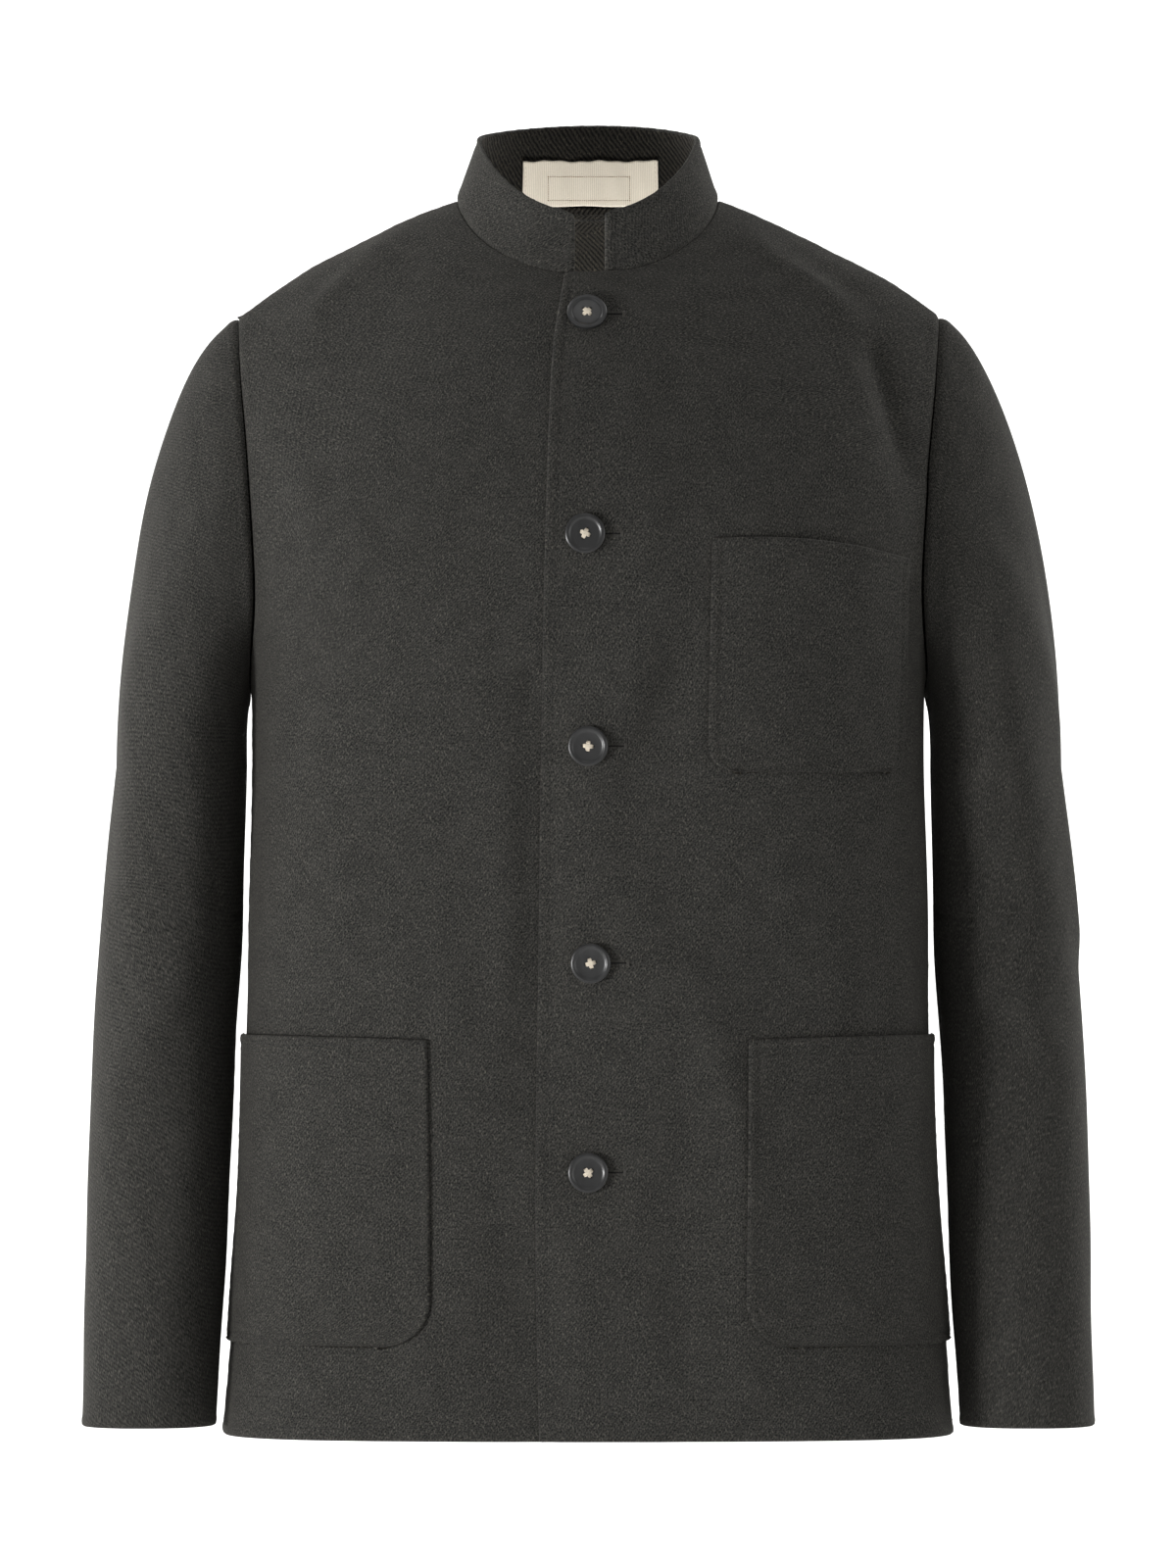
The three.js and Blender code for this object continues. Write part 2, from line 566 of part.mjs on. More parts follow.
// The collar's outer face, by turn round the neck and by share of its height.
function collarFace(turn, up) {
  const seam = neckSeam(turn);
  const low = plainBody(seam.turn, seam.z);
  low.z += COLLAR_SEAM;
  const s = Math.sin(turn);
  const c = Math.cos(turn);
  const { halfWidth: half, front, back, sideZ, frontDrop, backRise } = COLLAR_TOP;
  const y = c >= 0 ? -front * c : -back * c;
  const z = c >= 0 ? sideZ - frontDrop * c ** 1.35 : sideZ + backRise * Math.abs(c) ** 1.2;
  return low.lerp(new THREE.Vector3(half * s, y, z), up);
}

// The turn at which the collar has a given x at its front, for a share of its height.
function collarTurnAt(x, up) {
  return Math.asin(x / mix(NECK_HALF_WIDTH, COLLAR_TOP.halfWidth, up));
}

const COLLAR_ROWS = [0, 0.28, 0.56, 0.78, 0.88, 0.95, 1];
function collarRows() {
  const { leftX, rightX, leftRound, rightRound } = COLLAR_END;
  const frontHeight = COLLAR_TOP.sideZ - COLLAR_TOP.frontDrop + 46;
  const inset = (radius, up) => {
    const down = (1 - up) * frontHeight;
    return down < radius ? radius - Math.sqrt(radius ** 2 - (radius - down) ** 2) : 0;
  };
  const leftSide = frontNeckTurns(lapEdgeX).slice(1).filter((turn) => turn > collarTurnAt(leftX, 0) + 0.08);
  const rightSide = frontNeckTurns(underlapEdgeX).slice(1).filter((turn) => turn > collarTurnAt(-rightX, 0) + 0.08);
  const back = backNeckTurns.slice(0, -1);
  const turns = [
    ...leftSide,
    ...[...back].reverse(),
    ...back.slice(1).map((turn) => 2 * Math.PI - turn),
    ...[...rightSide].reverse().map((turn) => 2 * Math.PI - turn),
  ];
  return COLLAR_ROWS.map((up) => {
    const left = collarTurnAt(leftX + inset(leftRound, up), up);
    const right = 2 * Math.PI + collarTurnAt(rightX - inset(rightRound, up), up);
    return [left, ...turns, right].map((turn) => collarFace(turn, up));
  });
}

// The label lies on the collar's inner face, with a column at each of the collar's own.
function labelRows() {
  const inside = (turn, up) => {
    const across = collarFace(turn + 0.01, up).sub(collarFace(turn - 0.01, up));
    const rise = collarFace(turn, up + 0.01).sub(collarFace(turn, up - 0.01));
    return collarFace(turn, up).add(across.cross(rise).setLength(-COLLAR_CLOTH - LABEL_GAP));
  };
  const at = (turn, z) => {
    const low = collarFace(turn, 0).z;
    return inside(turn, (z - low) / (collarFace(turn, 1).z - low));
  };
  const step = Math.PI / 2 / BACK_GRID.neck;
  const { lowZ, highZ, halfWidth: half, middleX } = LABEL;
  return [0, 1, 2, 3].map((i) => {
    const z = mix(lowZ, highZ, i / 3);
    const middle = [-2, -1, 0, 1, 2].map((k) => at(Math.PI + k * step, z));
    const ends = [-1, 1].map((way) => {
      const near = at(Math.PI + way * 2 * step, z);
      const far = at(Math.PI + way * 3 * step, z);
      return near.lerp(far, (middleX - way * half - near.x) / (far.x - near.x));
    });
    return [ends[0], ...middle, ends[1]];
  });
}

// A patch pocket on the wearer's left front, from its bottom up to its mouth.
function pocketRows(pocket, side, lap) {
  const { mouthZ, mouthBow, bottomZ, innerX, outerX, sideY, innerRound, outerRound } = pocket;
  const inset = (radius, height) =>
    height < radius ? radius - Math.sqrt(radius ** 2 - (radius - height) ** 2) : 0;
  const deepest = Math.max(innerRound, outerRound);
  const high = mouthZ.inner - bottomZ;
  const heights = [0, 1, 2, 3, 4].map((k) => deepest * (1 - Math.cos((k / 4) * 90 * TURN)));
  for (let k = 1; k <= 5; k += 1) heights.push(mix(deepest, high, k / 5));
  return heights.map((height) => {
    const up = height / high;
    const level = bottomZ + height;
    const from = turnAtX(mix(innerX[1], innerX[0], up) + inset(innerRound, height), level);
    const outerEdge = sideY === undefined
      ? turnAtX(mix(outerX[1], outerX[0], up), level)
      : turnAtY(sideY, level);
    const to = outerEdge - inset(outerRound, height) / halfWidth(level);
    return Array.from({ length: 13 }, (_, j) => {
      const share = j / 12;
      const mouth = mix(mouthZ.inner, mouthZ.outer, share) + mouthBow * Math.sin(Math.PI * share);
      const z = mix(bottomZ, mouth, up);
      const gape = POCKET_GAPE * Math.sin(Math.PI * share) * up ** 5;
      const turn = mix(from, to, share);
      return body(turn, z, CLOTH + POCKET_GAP + gape + lap(plainBody(turn, z).x), side);
    });
  });
}

const { Manifold } = await Module().then((kit) => {
  kit.setup();
  return kit;
});

// A round button, its back at height nothing, with a dish inside its rim and four holes.
function buttonSolid() {
  const { radius, thick, rim, dish, edgeRound, hole, holeFromMiddle } = BUTTON;
  const profile = [
    [0, 0], [radius - 1.2, 0], [radius, 1.2], [radius, thick - edgeRound], [radius - edgeRound, thick],
    [radius - rim, thick], [radius - rim - 0.9, thick - dish], [0, thick - dish],
  ];
  let solid = Manifold.revolve([profile], 24);
  for (const sx of [-1, 1]) {
    for (const sy of [-1, 1]) {
      const drill = Manifold.cylinder(thick + 2, hole, hole, 8).translate([
        sx * holeFromMiddle, sy * holeFromMiddle, -1,
      ]);
      solid = solid.subtract(drill);
    }
  }
  const mesh = solid.getMesh();
  const geometry = new THREE.BufferGeometry();
  const xyz = [];
  for (let i = 0; i < mesh.numVert; i += 1) {
    for (let k = 0; k < 3; k += 1) xyz.push(mesh.vertProperties[i * mesh.numProp + k]);
  }
  geometry.setAttribute("position", new THREE.Float32BufferAttribute(xyz, 3));
  geometry.setIndex([...mesh.triVerts]);
  return geometry;
}

const lapRaise = (x) => (CLOTH + LYING_GAP) * smooth((LAP_GONE_BY_X - x) / (LAP_GONE_BY_X - LAP_FLAT_TO_X));

// Sets a button on the lapping front: square to the cloth under it, and clear of its highest place there.
function seatButton(geometry, { x, z }) {
  const face = (dx, dz) => body(turnAtX(x + dx, z + dz), z + dz, lapRaise(x + dx));
  const near = BUTTON.radius * 0.8;
  const across = face(near, 0).sub(face(-near, 0));
  const up = face(0, near).sub(face(0, -near));
  const normal = across.clone().cross(up).normalize();
  const middle = face(0, 0);
  let highest = 0;
  for (let k = 0; k < 48; k += 1) {
    const reach = BUTTON.radius * (k % 2 ? 1 : 0.55);
    const angle = (k / 24) * Math.PI;
    const p = face(reach * Math.cos(angle), reach * Math.sin(angle));
    highest = Math.max(highest, p.sub(middle).dot(normal));
  }
  const right = across.addScaledVector(normal, -across.dot(normal)).normalize();
  const basis = new THREE.Matrix4().makeBasis(right, normal.clone().cross(right), normal);
  basis.setPosition(middle.addScaledVector(normal, highest + BUTTON.seat));
  return geometry.applyMatrix4(basis);
}

const cloth = { color: "#34332f", roughness: 0.96 };
const horn = { color: "#1b1a19", roughness: 0.45 };
const cotton = { color: "#d9d0bd", roughness: 0.9 };

const part = new THREE.Group();
part.name = "suit_jacket";
function add(name, geometry, look) {
  const mesh = new THREE.Mesh(geometry, new THREE.MeshStandardMaterial(look));
  geometry.computeVertexNormals();
  mesh.name = name;
  part.add(mesh);
}

const noLap = () => 0;
const panel = { isPanel: true };
const tube = { isTube: true };
add("front_left", wallGeometry(frontRows(lapEdgeX, 1, lapRaise), CLOTH, panel), cloth);
add("front_right", wallGeometry(mirrored(frontRows(underlapEdgeX, -1, noLap)), CLOTH, panel), cloth);
add("back", wallGeometry(backRows(), CLOTH, panel), cloth);
add("collar", wallGeometry(collarRows(), COLLAR_CLOTH), cloth);
add("sleeve_left", wallGeometry(sleeveRows(LEFT_SLEEVE_FOLDS, 1), CLOTH, tube), cloth);
add("sleeve_right", wallGeometry(mirrored(sleeveRows(RIGHT_SLEEVE_FOLDS, -1)), CLOTH, tube), cloth);
add("pocket_chest", wallGeometry(pocketRows(CHEST_POCKET, 1, noLap), CLOTH), cloth);
add("pocket_left", wallGeometry(pocketRows(HIP_POCKET, 1, noLap), CLOTH), cloth);
add("pocket_right", wallGeometry(mirrored(pocketRows(HIP_POCKET, -1, noLap)), CLOTH), cloth);
BUTTONS.forEach((place, i) => add(`button_${i + 1}`, seatButton(buttonSolid(), place), horn));
add("label", wallGeometry(labelRows(), LABEL_CLOTH), cotton);

export default part;
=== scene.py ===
# A men's stand-collar jacket in charcoal wool flannel, buttoned up and filled out as it is when worn.
# Sizes are in millimetres and turned to metres where a mesh is made. +Z is up, -Y is the front, and +X is
# the wearer's left, whose front laps on top. The origin is the middle of the neck opening.
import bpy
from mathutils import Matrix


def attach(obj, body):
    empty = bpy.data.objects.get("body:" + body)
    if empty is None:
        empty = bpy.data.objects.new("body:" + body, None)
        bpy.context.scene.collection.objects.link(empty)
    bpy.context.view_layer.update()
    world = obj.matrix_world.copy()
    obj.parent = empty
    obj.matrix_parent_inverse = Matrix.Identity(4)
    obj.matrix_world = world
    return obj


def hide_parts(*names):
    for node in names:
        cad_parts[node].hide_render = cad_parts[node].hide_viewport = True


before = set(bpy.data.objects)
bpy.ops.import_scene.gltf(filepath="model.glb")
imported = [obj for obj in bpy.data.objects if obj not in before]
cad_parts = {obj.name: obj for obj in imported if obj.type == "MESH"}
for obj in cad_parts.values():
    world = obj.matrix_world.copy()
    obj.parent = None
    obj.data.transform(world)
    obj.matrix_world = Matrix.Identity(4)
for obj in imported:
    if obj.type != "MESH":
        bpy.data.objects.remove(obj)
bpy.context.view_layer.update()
import math

import bpy
import numpy as np

# The picture is a studio cut-out: the jacket hangs level before a long lens, over a plain pale floor that
# sweeps up behind it. A large soft box lights it from the viewer's left, a weaker one fills from the right,
# and two more whiten the paper behind.
CAMERA_AWAY = 7.0
CAMERA_HEIGHT = -0.342
PICTURE_HIGH = 0.920
camera_data = bpy.data.cameras.new("view")
camera_data.sensor_width = 36.0
camera_data.lens = 36.0 * CAMERA_AWAY / PICTURE_HIGH
camera = bpy.data.objects.new("view", camera_data)
camera.location = (-0.0003, -CAMERA_AWAY, CAMERA_HEIGHT)
camera.rotation_euler = (math.radians(90), 0, 0)
bpy.context.collection.objects.link(camera)
bpy.context.scene.camera = camera
bpy.context.scene.view_settings.view_transform = "Standard"


def linear(hex_colour):
    """Turns an sRGB hex colour into the linear one that a shader takes."""
    out = []
    for k in (1, 3, 5):
        v = int(hex_colour[k:k + 2], 16) / 255
        out.append(v / 12.92 if v <= 0.04045 else ((v + 0.055) / 1.055) ** 2.4)
    return (*out, 1.0)


def node(tree, kind, inputs=None, **settings):
    """Adds one node to a tree, with its settings, and with a value or a link on each input that is named."""
    made = tree.nodes.new(kind)
    for name, value in settings.items():
        setattr(made, name, value)
    for name, value in (inputs or {}).items():
        if isinstance(value, bpy.types.NodeSocket):
            tree.links.new(value, made.inputs[name])
        else:
            made.inputs[name].default_value = value
    return made


def new_material(name):
    """Starts a material with an empty node tree, and gives both."""
    material = bpy.data.materials.new(name)
    material.use_nodes = True
    material.node_tree.nodes.clear()
    return material, material.node_tree


world = bpy.data.worlds.new("studio_air")
world.use_nodes = True
world.node_tree.nodes.clear()
air = node(world.node_tree, "ShaderNodeBackground", {"Color": linear("#f6f6f4"), "Strength": 0.37})
node(world.node_tree, "ShaderNodeOutputWorld", {"Surface": air.outputs[0]})
bpy.context.scene.world = world


def soft_light(name, place, aim, size, watts):
    """A square soft box that looks from its place towards a point."""
    data = bpy.data.lights.new(name, "AREA")
    data.shape = "SQUARE"
    data.size = size
    data.energy = watts
    light = bpy.data.objects.new(name, data)
    light.location = place
    way = [a - b for a, b in zip(aim, place)]
    flat = math.hypot(way[0], way[1])
    light.rotation_euler = (math.atan2(flat, -way[2]), 0, math.atan2(way[1], way[0]) - math.pi / 2)
    bpy.context.collection.objects.link(light)


soft_light("key", (-2.7, -1.9, -0.95), (0, 0, -0.55), 0.9, 172)
soft_light("fill", (2.8, -1.8, -0.1), (0, 0, -0.4), 1.6, 17)
soft_light("top", (0.1, -1.5, 2.3), (0, 0, 0.0), 0.9, 4)
# The inside of the neck is as clear as in such cut-outs, which join in a second picture of it.
soft_light("inside_neck", (0.0, -0.045, -0.16), (0.0, 0.06, -0.02), 0.05, 0.55)
for side in (-1, 1):
    soft_light(f"paper_light_{side}", (side * 2.2, 0.9, 1.5), (side * 0.4, 2.2, -0.4), 1.4, 62)

FLOOR_Z = -0.98
SWEEP_AT = 1.3
SWEEP_RADIUS = 0.9
profile = [(-4.5, FLOOR_Z)]
for k in range(13):
    bend = k / 12 * math.pi / 2
    profile.append((SWEEP_AT + SWEEP_RADIUS * math.sin(bend), FLOOR_Z + SWEEP_RADIUS * (1 - math.cos(bend))))
profile.append((SWEEP_AT + SWEEP_RADIUS, 3.2))
floor_mesh = bpy.data.meshes.new("floor")
floor_points = [(x, y, z) for y, z in profile for x in (-5.0, 5.0)]
floor_faces = [(2 * k, 2 * k + 1, 2 * k + 3, 2 * k + 2) for k in range(len(profile) - 1)]
floor_mesh.from_pydata(floor_points, [], floor_faces)
floor = bpy.data.objects.new("floor", floor_mesh)
bpy.context.collection.objects.link(floor)
for face in floor_mesh.polygons:
    face.use_smooth = True
# Matt white seamless paper: it stays just under full white, with no gloss. Its back is clear, so that the
# jacket can be looked at from behind as well.
paper, tree = new_material("seamless_paper_matt")
coat = node(tree, "ShaderNodeBsdfPrincipled", {"Base Color": linear("#f7f7f6"), "Roughness": 0.95})
clear = node(tree, "ShaderNodeBsdfTransparent")
is_back = node(tree, "ShaderNodeNewGeometry").outputs["Backfacing"]
one_sided = node(tree, "ShaderNodeMixShader", {0: is_back, 1: coat.outputs[0], 2: clear.outputs[0]})
node(tree, "ShaderNodeOutputMaterial", {"Surface": one_sided.outputs[0]})
floor_mesh.materials.append(paper)

# The left front laps on top and is folded back at its free edge. It is one piece of wool flannel, cut from
# there to the side seam, and up to the armhole, the shoulder seam and the neck. The cloth is a twill of
# charcoal and olive-brown wool spun together, and milled until a short nap half hides the weave.
FLECK = 1.15
MOTTLE = 17.0
SPECK = 0.9


def wool(name, dark, light, speck, twill, ribbed):
    """Milled flannel. The eye sees a dark ground, fine paler fibres all over it, and a few bright ones. The
    wrong side is less milled, so the twill's slanting ribs show there."""
    made, tree = new_material(name)
    place = node(tree, "ShaderNodeUVMap", uv_map="cloth").outputs[0]
    fleck = node(tree, "ShaderNodeTexNoise", {
        "Vector": place, "Scale": 1000 / FLECK, "Detail": 2.0, "Roughness": 0.65,
    }).outputs["Fac"]
    mottle = node(tree, "ShaderNodeTexNoise", {
        "Vector": place, "Scale": 1000 / MOTTLE, "Detail": 3.0, "Roughness": 0.55,
    }).outputs["Fac"]
    hairs = node(tree, "ShaderNodeMapping", {
        "Vector": place, "Rotation": (0, 0, math.radians(35)), "Scale": (1.0, 0.45, 1.0),
    }).outputs[0]
    bright = node(tree, "ShaderNodeTexNoise", {
        "Vector": hairs, "Scale": 1000 / SPECK, "Detail": 1.0, "Roughness": 0.5,
    }).outputs["Fac"]
    slant = node(tree, "ShaderNodeMapping", {
        "Vector": place, "Rotation": (0, 0, math.radians(38)),
    }).outputs[0]
    rib = node(tree, "ShaderNodeTexWave", {
        "Vector": slant, "Scale": 1000 / twill / 3.2, "Distortion": 1.6, "Detail": 2.0,
        "Detail Scale": 2.0, "Detail Roughness": 0.6,
    }, wave_type="BANDS", bands_direction="X").outputs["Fac"]
    ground = node(tree, "ShaderNodeMath", {0: mottle, 1: 0.16, 2: fleck}, operation="MULTIPLY_ADD").outputs[0]
    ground = node(tree, "ShaderNodeMath", {0: rib, 1: ribbed, 2: ground}, operation="MULTIPLY_ADD").outputs[0]
    tone = node(tree, "ShaderNodeMapRange", {
        "Value": ground, "From Min": 0.41 + ribbed * 0.4, "From Max": 0.77 + ribbed * 0.5,
    }).outputs[0]
    body_colour = node(tree, "ShaderNodeMix", {
        "Factor": tone, "A": linear(dark), "B": linear(light),
    }, data_type="RGBA")
    glint = node(tree, "ShaderNodeMapRange", {
        "Value": bright, "From Min": 0.56, "From Max": 0.80, "To Max": 0.6,
    }).outputs[0]
    colour = node(tree, "ShaderNodeMix", {"Factor": glint, "B": linear(speck)}, data_type="RGBA")
    tree.links.new(body_colour.outputs["Result"], colour.inputs["A"])
    height = node(tree, "ShaderNodeMath", {0: rib, 1: ribbed * 2, 2: fleck}, operation="MULTIPLY_ADD")
    bump = node(tree, "ShaderNodeBump", {
        "Height": height.outputs[0], "Strength": 0.6, "Distance": 0.00035,
    }).outputs[0]
    coat = node(tree, "ShaderNodeBsdfPrincipled", {
        "Roughness": 0.95, "Normal": bump, "Specular IOR Level": 0.12, "Sheen Weight": 0.09,
        "Sheen Roughness": 0.4, "Sheen Tint": linear("#b4afa6"),
    })
    tree.links.new(colour.outputs["Result"], coat.inputs["Base Color"])
    node(tree, "ShaderNodeOutputMaterial", {"Surface": coat.outputs[0]})
    return made


flannel = wool("wool_flannel_milled", "#131313", "#403f3c", "#6c6961", 1.6, 0.1)
# The reverse shows the twill's ribs of its own, but its darker colours are painted shade, for the inside of
# the jacket where little light comes.
shaded_reverse_flannel = wool("wool_flannel_wrong_side", "#0b0a09", "#25231f", "#4c473d", 2.4, 0.8)


def table(columns, rows):
    """Rows of values under the names of their columns."""
    return [dict(zip(columns.split(), row)) for row in rows]


CLOTH = 1.8
SEAM = 0.3
LYING_GAP = 0.5
HEM_Z = -721
UNDERARM_Z = -290
NECK_HALF_WIDTH = 77
SIDE_SEAM_Y = 8
BODY = table("z half_width front back square", [
    (-722, 214.0, 117, 106, 3.1), (-640, 207.5, 119, 104, 3.05), (-560, 202.5, 121, 103, 3.0),
    (-480, 200.0, 124, 104, 2.9), (-390, 198.5, 129, 108, 2.8), (-320, 197.0, 133, 114, 2.7),
    (-270, 199.0, 135, 118, 2.6), (-210, 209.5, 134, 120, 2.5), (-150, 220.0, 130, 118, 2.4),
    (-70, 232.0, 126, 113, 2.4), (12, 240.0, 124, 110, 2.4),
])
SHOULDER = table("x z", [
    (0, 11), (40, 8), (77, 0), (105, -11), (140, -28), (175, -46.5), (209, -71), (245, -105),
])
FRONT_ROUND = {"height": 200, "power": 1.6}
BACK_ROUND = {"height": 217, "power": 2.2}
LAP_EDGE = table("z x", [
    (-722, -27.5), (-600, -29.7), (-430, -27.8), (-300, -26), (-170, -23), (-90, -19.5), (-46, -13),
])
NECK_SLOPE = 20
NECK_BOWL = 26
NECK_BACK = 7
NECK_SOFT = 0.25
FRONT_ARMHOLE_TURN = math.radians(71)
BACK_ARMHOLE_TURN = math.radians(107.15)
ARMHOLE_HOOK = 8
LAP_TURN = 0.23
EDGE_TOP_Z = -46
LEVEL_BELOW_Z = -52
LEVEL_FADE = 90
EDGE_ROWS = 9
NECK_ROWS = 9

# The large folds: each lies along a line, as seen from the front. The solids have them too, but there some
# of those near the front edge lie a little aside of these.
FRONT_FOLDS = table("x0 z0 x1 z1 width height", [
    (-27, -275, -29, -540, 17, -3.4), (-84, -250, -82, -520, 26, 1.6), (-62, -600, -104, -705, 20, 3.2),
    (-34, -600, -36, -722, 20, -3.4), (30, -255, 2, -350, 17, 1.6), (62, -262, 26, -385, 18, -2.4),
    (55, -440, 88, -560, 20, 3.0), (88, -560, 96, -700, 18, 2.4), (-118, -24, -165, -72, 9, 1.8),
    (96, -18, 160, -76, 9, 2.0), (165, -84, 186, -165, 11, -3.4), (150, -120, 176, -190, 13, 1.8),
    (-150, -330, -138, -470, 26, 1.6),
])
BACK_FOLDS = table("x0 z0 x1 z1 width height", [
    (-112, -190, -128, -722, 26, 3.2),
    (-58, -330, -66, -722, 22, -2.8),
    (10, -300, -4, -722, 28, 2.4),
    (64, -360, 72, -722, 20, -3.0),
    (118, -200, 126, -722, 26, 3.0),
    (-150, -110, -120, -230, 14, -2.2),
    (152, -116, 124, -220, 14, -2.0),
    (-70, -34, 66, -36, 12, -1.2),
])
# Finer creases, on the cloth alone. Each follows its points, as seen from the front.
FRONT_CREASES = table("path width height", [
    (((-106, -12), (-130, -32), (-150, -54), (-166, -76)), 5, 0.9),
    (((88, -10), (108, -36), (133, -52), (158, -75)), 5, 1.1),
    (((100, -12), (124, -30), (150, -50), (170, -68)), 6, -0.9),
    (((160, -70), (173, -108), (179, -132), (186, -158), (193, -172)), 5, -1.3),
    (((148, -84), (162, -118), (172, -150)), 6, 0.8),
    (((-186, -150), (-176, -190), (-170, -226)), 8, -1.1),
    (((-172, -140), (-160, -186), (-156, -216)), 9, 0.8),
    (((-34, -268), (-33, -284), (-38, -304)), 7, -1.4),
    (((-46, -296), (-48, -360), (-45, -420), (-50, -500)), 11, 1.7),
    (((-74, -318), (-78, -366), (-74, -420)), 12, -1.0),
    (((-42, -540), (-56, -600), (-84, -640)), 10, -0.8),
    (((64, -250), (44, -290), (24, -335), (10, -362)), 9, -1.3),
    (((4, -372), (26, -420), (30, -470)), 14, 0.7),
    (((58, -446), (76, -500), (88, -536), (98, -612)), 10, 0.8),
    (((40, -590), (56, -640), (60, -700)), 12, -0.8),
    (((-190, -300), (-166, -318), (-136, -322)), 9, 0.7),
    (((188, -296), (160, -352), (120, -366)), 10, -0.7),
    (((-150, -690), (-146, -708), (-148, -721)), 15, 0.8),
    (((150, -684), (140, -706), (142, -721)), 16, 0.8),
])
BACK_CREASES = table("path width height", [
    (((-60, -18), (-20, -26), (24, -25), (62, -17)), 5, 0.8),
    (((-168, -90), (-140, -150), (-128, -210)), 8, -1.0),
    (((170, -96), (146, -150), (130, -206)), 8, -1.0),
    (((-90, -60), (-110, -110), (-112, -170)), 14, 0.8),
    (((88, -64), (104, -112), (108, -176)), 14, 0.8),
    (((-84, -360), (-92, -480), (-90, -620)), 12, 0.9),
    (((34, -420), (40, -560), (36, -700)), 12, 0.9),
    (((96, -400), (92, -520), (98, -650)), 10, -0.8),
    (((-30, -480), (-26, -600), (-32, -710)), 12, -0.8),
])


def mix(a, b, t):
    return a + (b - a) * t


def clamp(v):
    return np.clip(v, 0.0, 1.0)


def smooth(v):
    return clamp(v) ** 2 * (3 - 2 * clamp(v))


def curve_of(table, by, name):
    """A smooth curve through one column of a table, by another."""
    rows = sorted(table, key=lambda row: row[by])
    at = np.array([row[by] for row in rows], float)
    value = np.array([row[name] for row in rows], float)
    before = np.maximum(np.arange(len(rows)) - 1, 0)
    after = np.minimum(np.arange(len(rows)) + 1, len(rows) - 1)
    slope = (value[after] - value[before]) / (at[after] - at[before])

    def curve(v):
        v = np.clip(v, at[0], at[-1])
        i = np.clip(np.searchsorted(at, v, side="right") - 1, 0, len(at) - 2)
        span = at[i + 1] - at[i]
        t = (v - at[i]) / span
        ends = value[i] * (2 * t**3 - 3 * t**2 + 1) + value[i + 1] * (3 * t**2 - 2 * t**3)
        return ends + span * (slope[i] * (t**3 - 2 * t**2 + t) + slope[i + 1] * (t**3 - t**2))
    return curve


half_width = curve_of(BODY, "z", "half_width")
front_reach = curve_of(BODY, "z", "front")
back_reach = curve_of(BODY, "z", "back")
square = curve_of(BODY, "z", "square")
shoulder_z = curve_of(SHOULDER, "x", "z")
lap_edge_x = curve_of(LAP_EDGE, "z", "x")


def fold_lift(folds, a, b, names):
    """How far the large folds lift the cloth at each point, tapering at both of their ends."""
    lift = np.zeros(np.broadcast(a, b).shape)
    for fold in folds:
        a0, b0, a1, b1 = (fold[name] for name in names)
        long = math.hypot(a1 - a0, b1 - b0)
        da, db = (a1 - a0) / long, (b1 - b0) / long
        along = (a - a0) * da + (b - b0) * db
        aside = (a - a0) * db - (b - b0) * da
        taper = min(long / 2, 2 * fold["width"])
        ends = smooth((along + taper / 2) / taper) * smooth((long + taper / 2 - along) / taper)
        lift += fold["height"] * ends * np.exp(-((aside / fold["width"]) ** 2))
    return lift


CREASE_DEPTH = 1.4


def crease_lift(creases, a, b):
    """How far the fine creases lift the cloth. Each runs through its points and dies out at both ends."""
    lift = np.zeros(np.broadcast(a, b).shape)
    for crease in creases:
        path = np.array(crease["path"], float)
        steps = np.diff(path, axis=0)
        longs = np.hypot(steps[:, 0], steps[:, 1])
        total = longs.sum()
        run = np.zeros_like(lift)
        nearest = np.full_like(lift, 1e9)
        start = 0.0
        for (p, q), (da, db), long in zip(path[:-1], steps, longs):
            t = clamp(((a - p) * da + (b - q) * db) / long**2)
            away = np.hypot(a - p - t * da, b - q - t * db)
            run = np.where(away < nearest, start + t * long, run)
            nearest = np.minimum(nearest, away)
            start += long
        pull = smooth(run / (total * 0.35)) * smooth((total - run) / (total * 0.35))
        lift += CREASE_DEPTH * crease["height"] * pull * np.exp(-((nearest / crease["width"]) ** 2))
    return lift


WAVE_COUNT = 14
WAVE_HEIGHT = 0.42
waves_seed = np.random.default_rng(11)
WAVES = [
    {
        "way": waves_seed.normal(size=3) * np.array([1.0, 1.0, 0.4]),
        "long": waves_seed.uniform(34, 120),
        "phase": waves_seed.uniform(0, 2 * math.pi),
    }
    for _ in range(WAVE_COUNT)
]


def undulation(p):
    """The faint unevenness of cloth that has been worn and steamed, by place, mostly in upright waves."""
    lift = np.zeros(p.shape[:-1])
    for wave in WAVES:
        way = wave["way"] / np.linalg.norm(wave["way"])
        lift += np.sin(p @ way * (2 * math.pi / wave["long"]) + wave["phase"]) * (wave["long"] / 80)
    return lift * WAVE_HEIGHT / math.sqrt(WAVE_COUNT / 2)


def rounding(drop, form):
    """The share of its full depth that the body has reached, by how far it is below the shoulder line."""
    return (1 - (1 - clamp(drop / form["height"])) ** form["power"]) ** (1 / form["power"])


def ring_depth(x, z, reach):
    """How far the body's ring at a height reaches to front or back, at some distance from its middle."""
    n = square(z)
    return reach * clamp(1 - (np.abs(x) / half_width(z)) ** n) ** (1 / n)


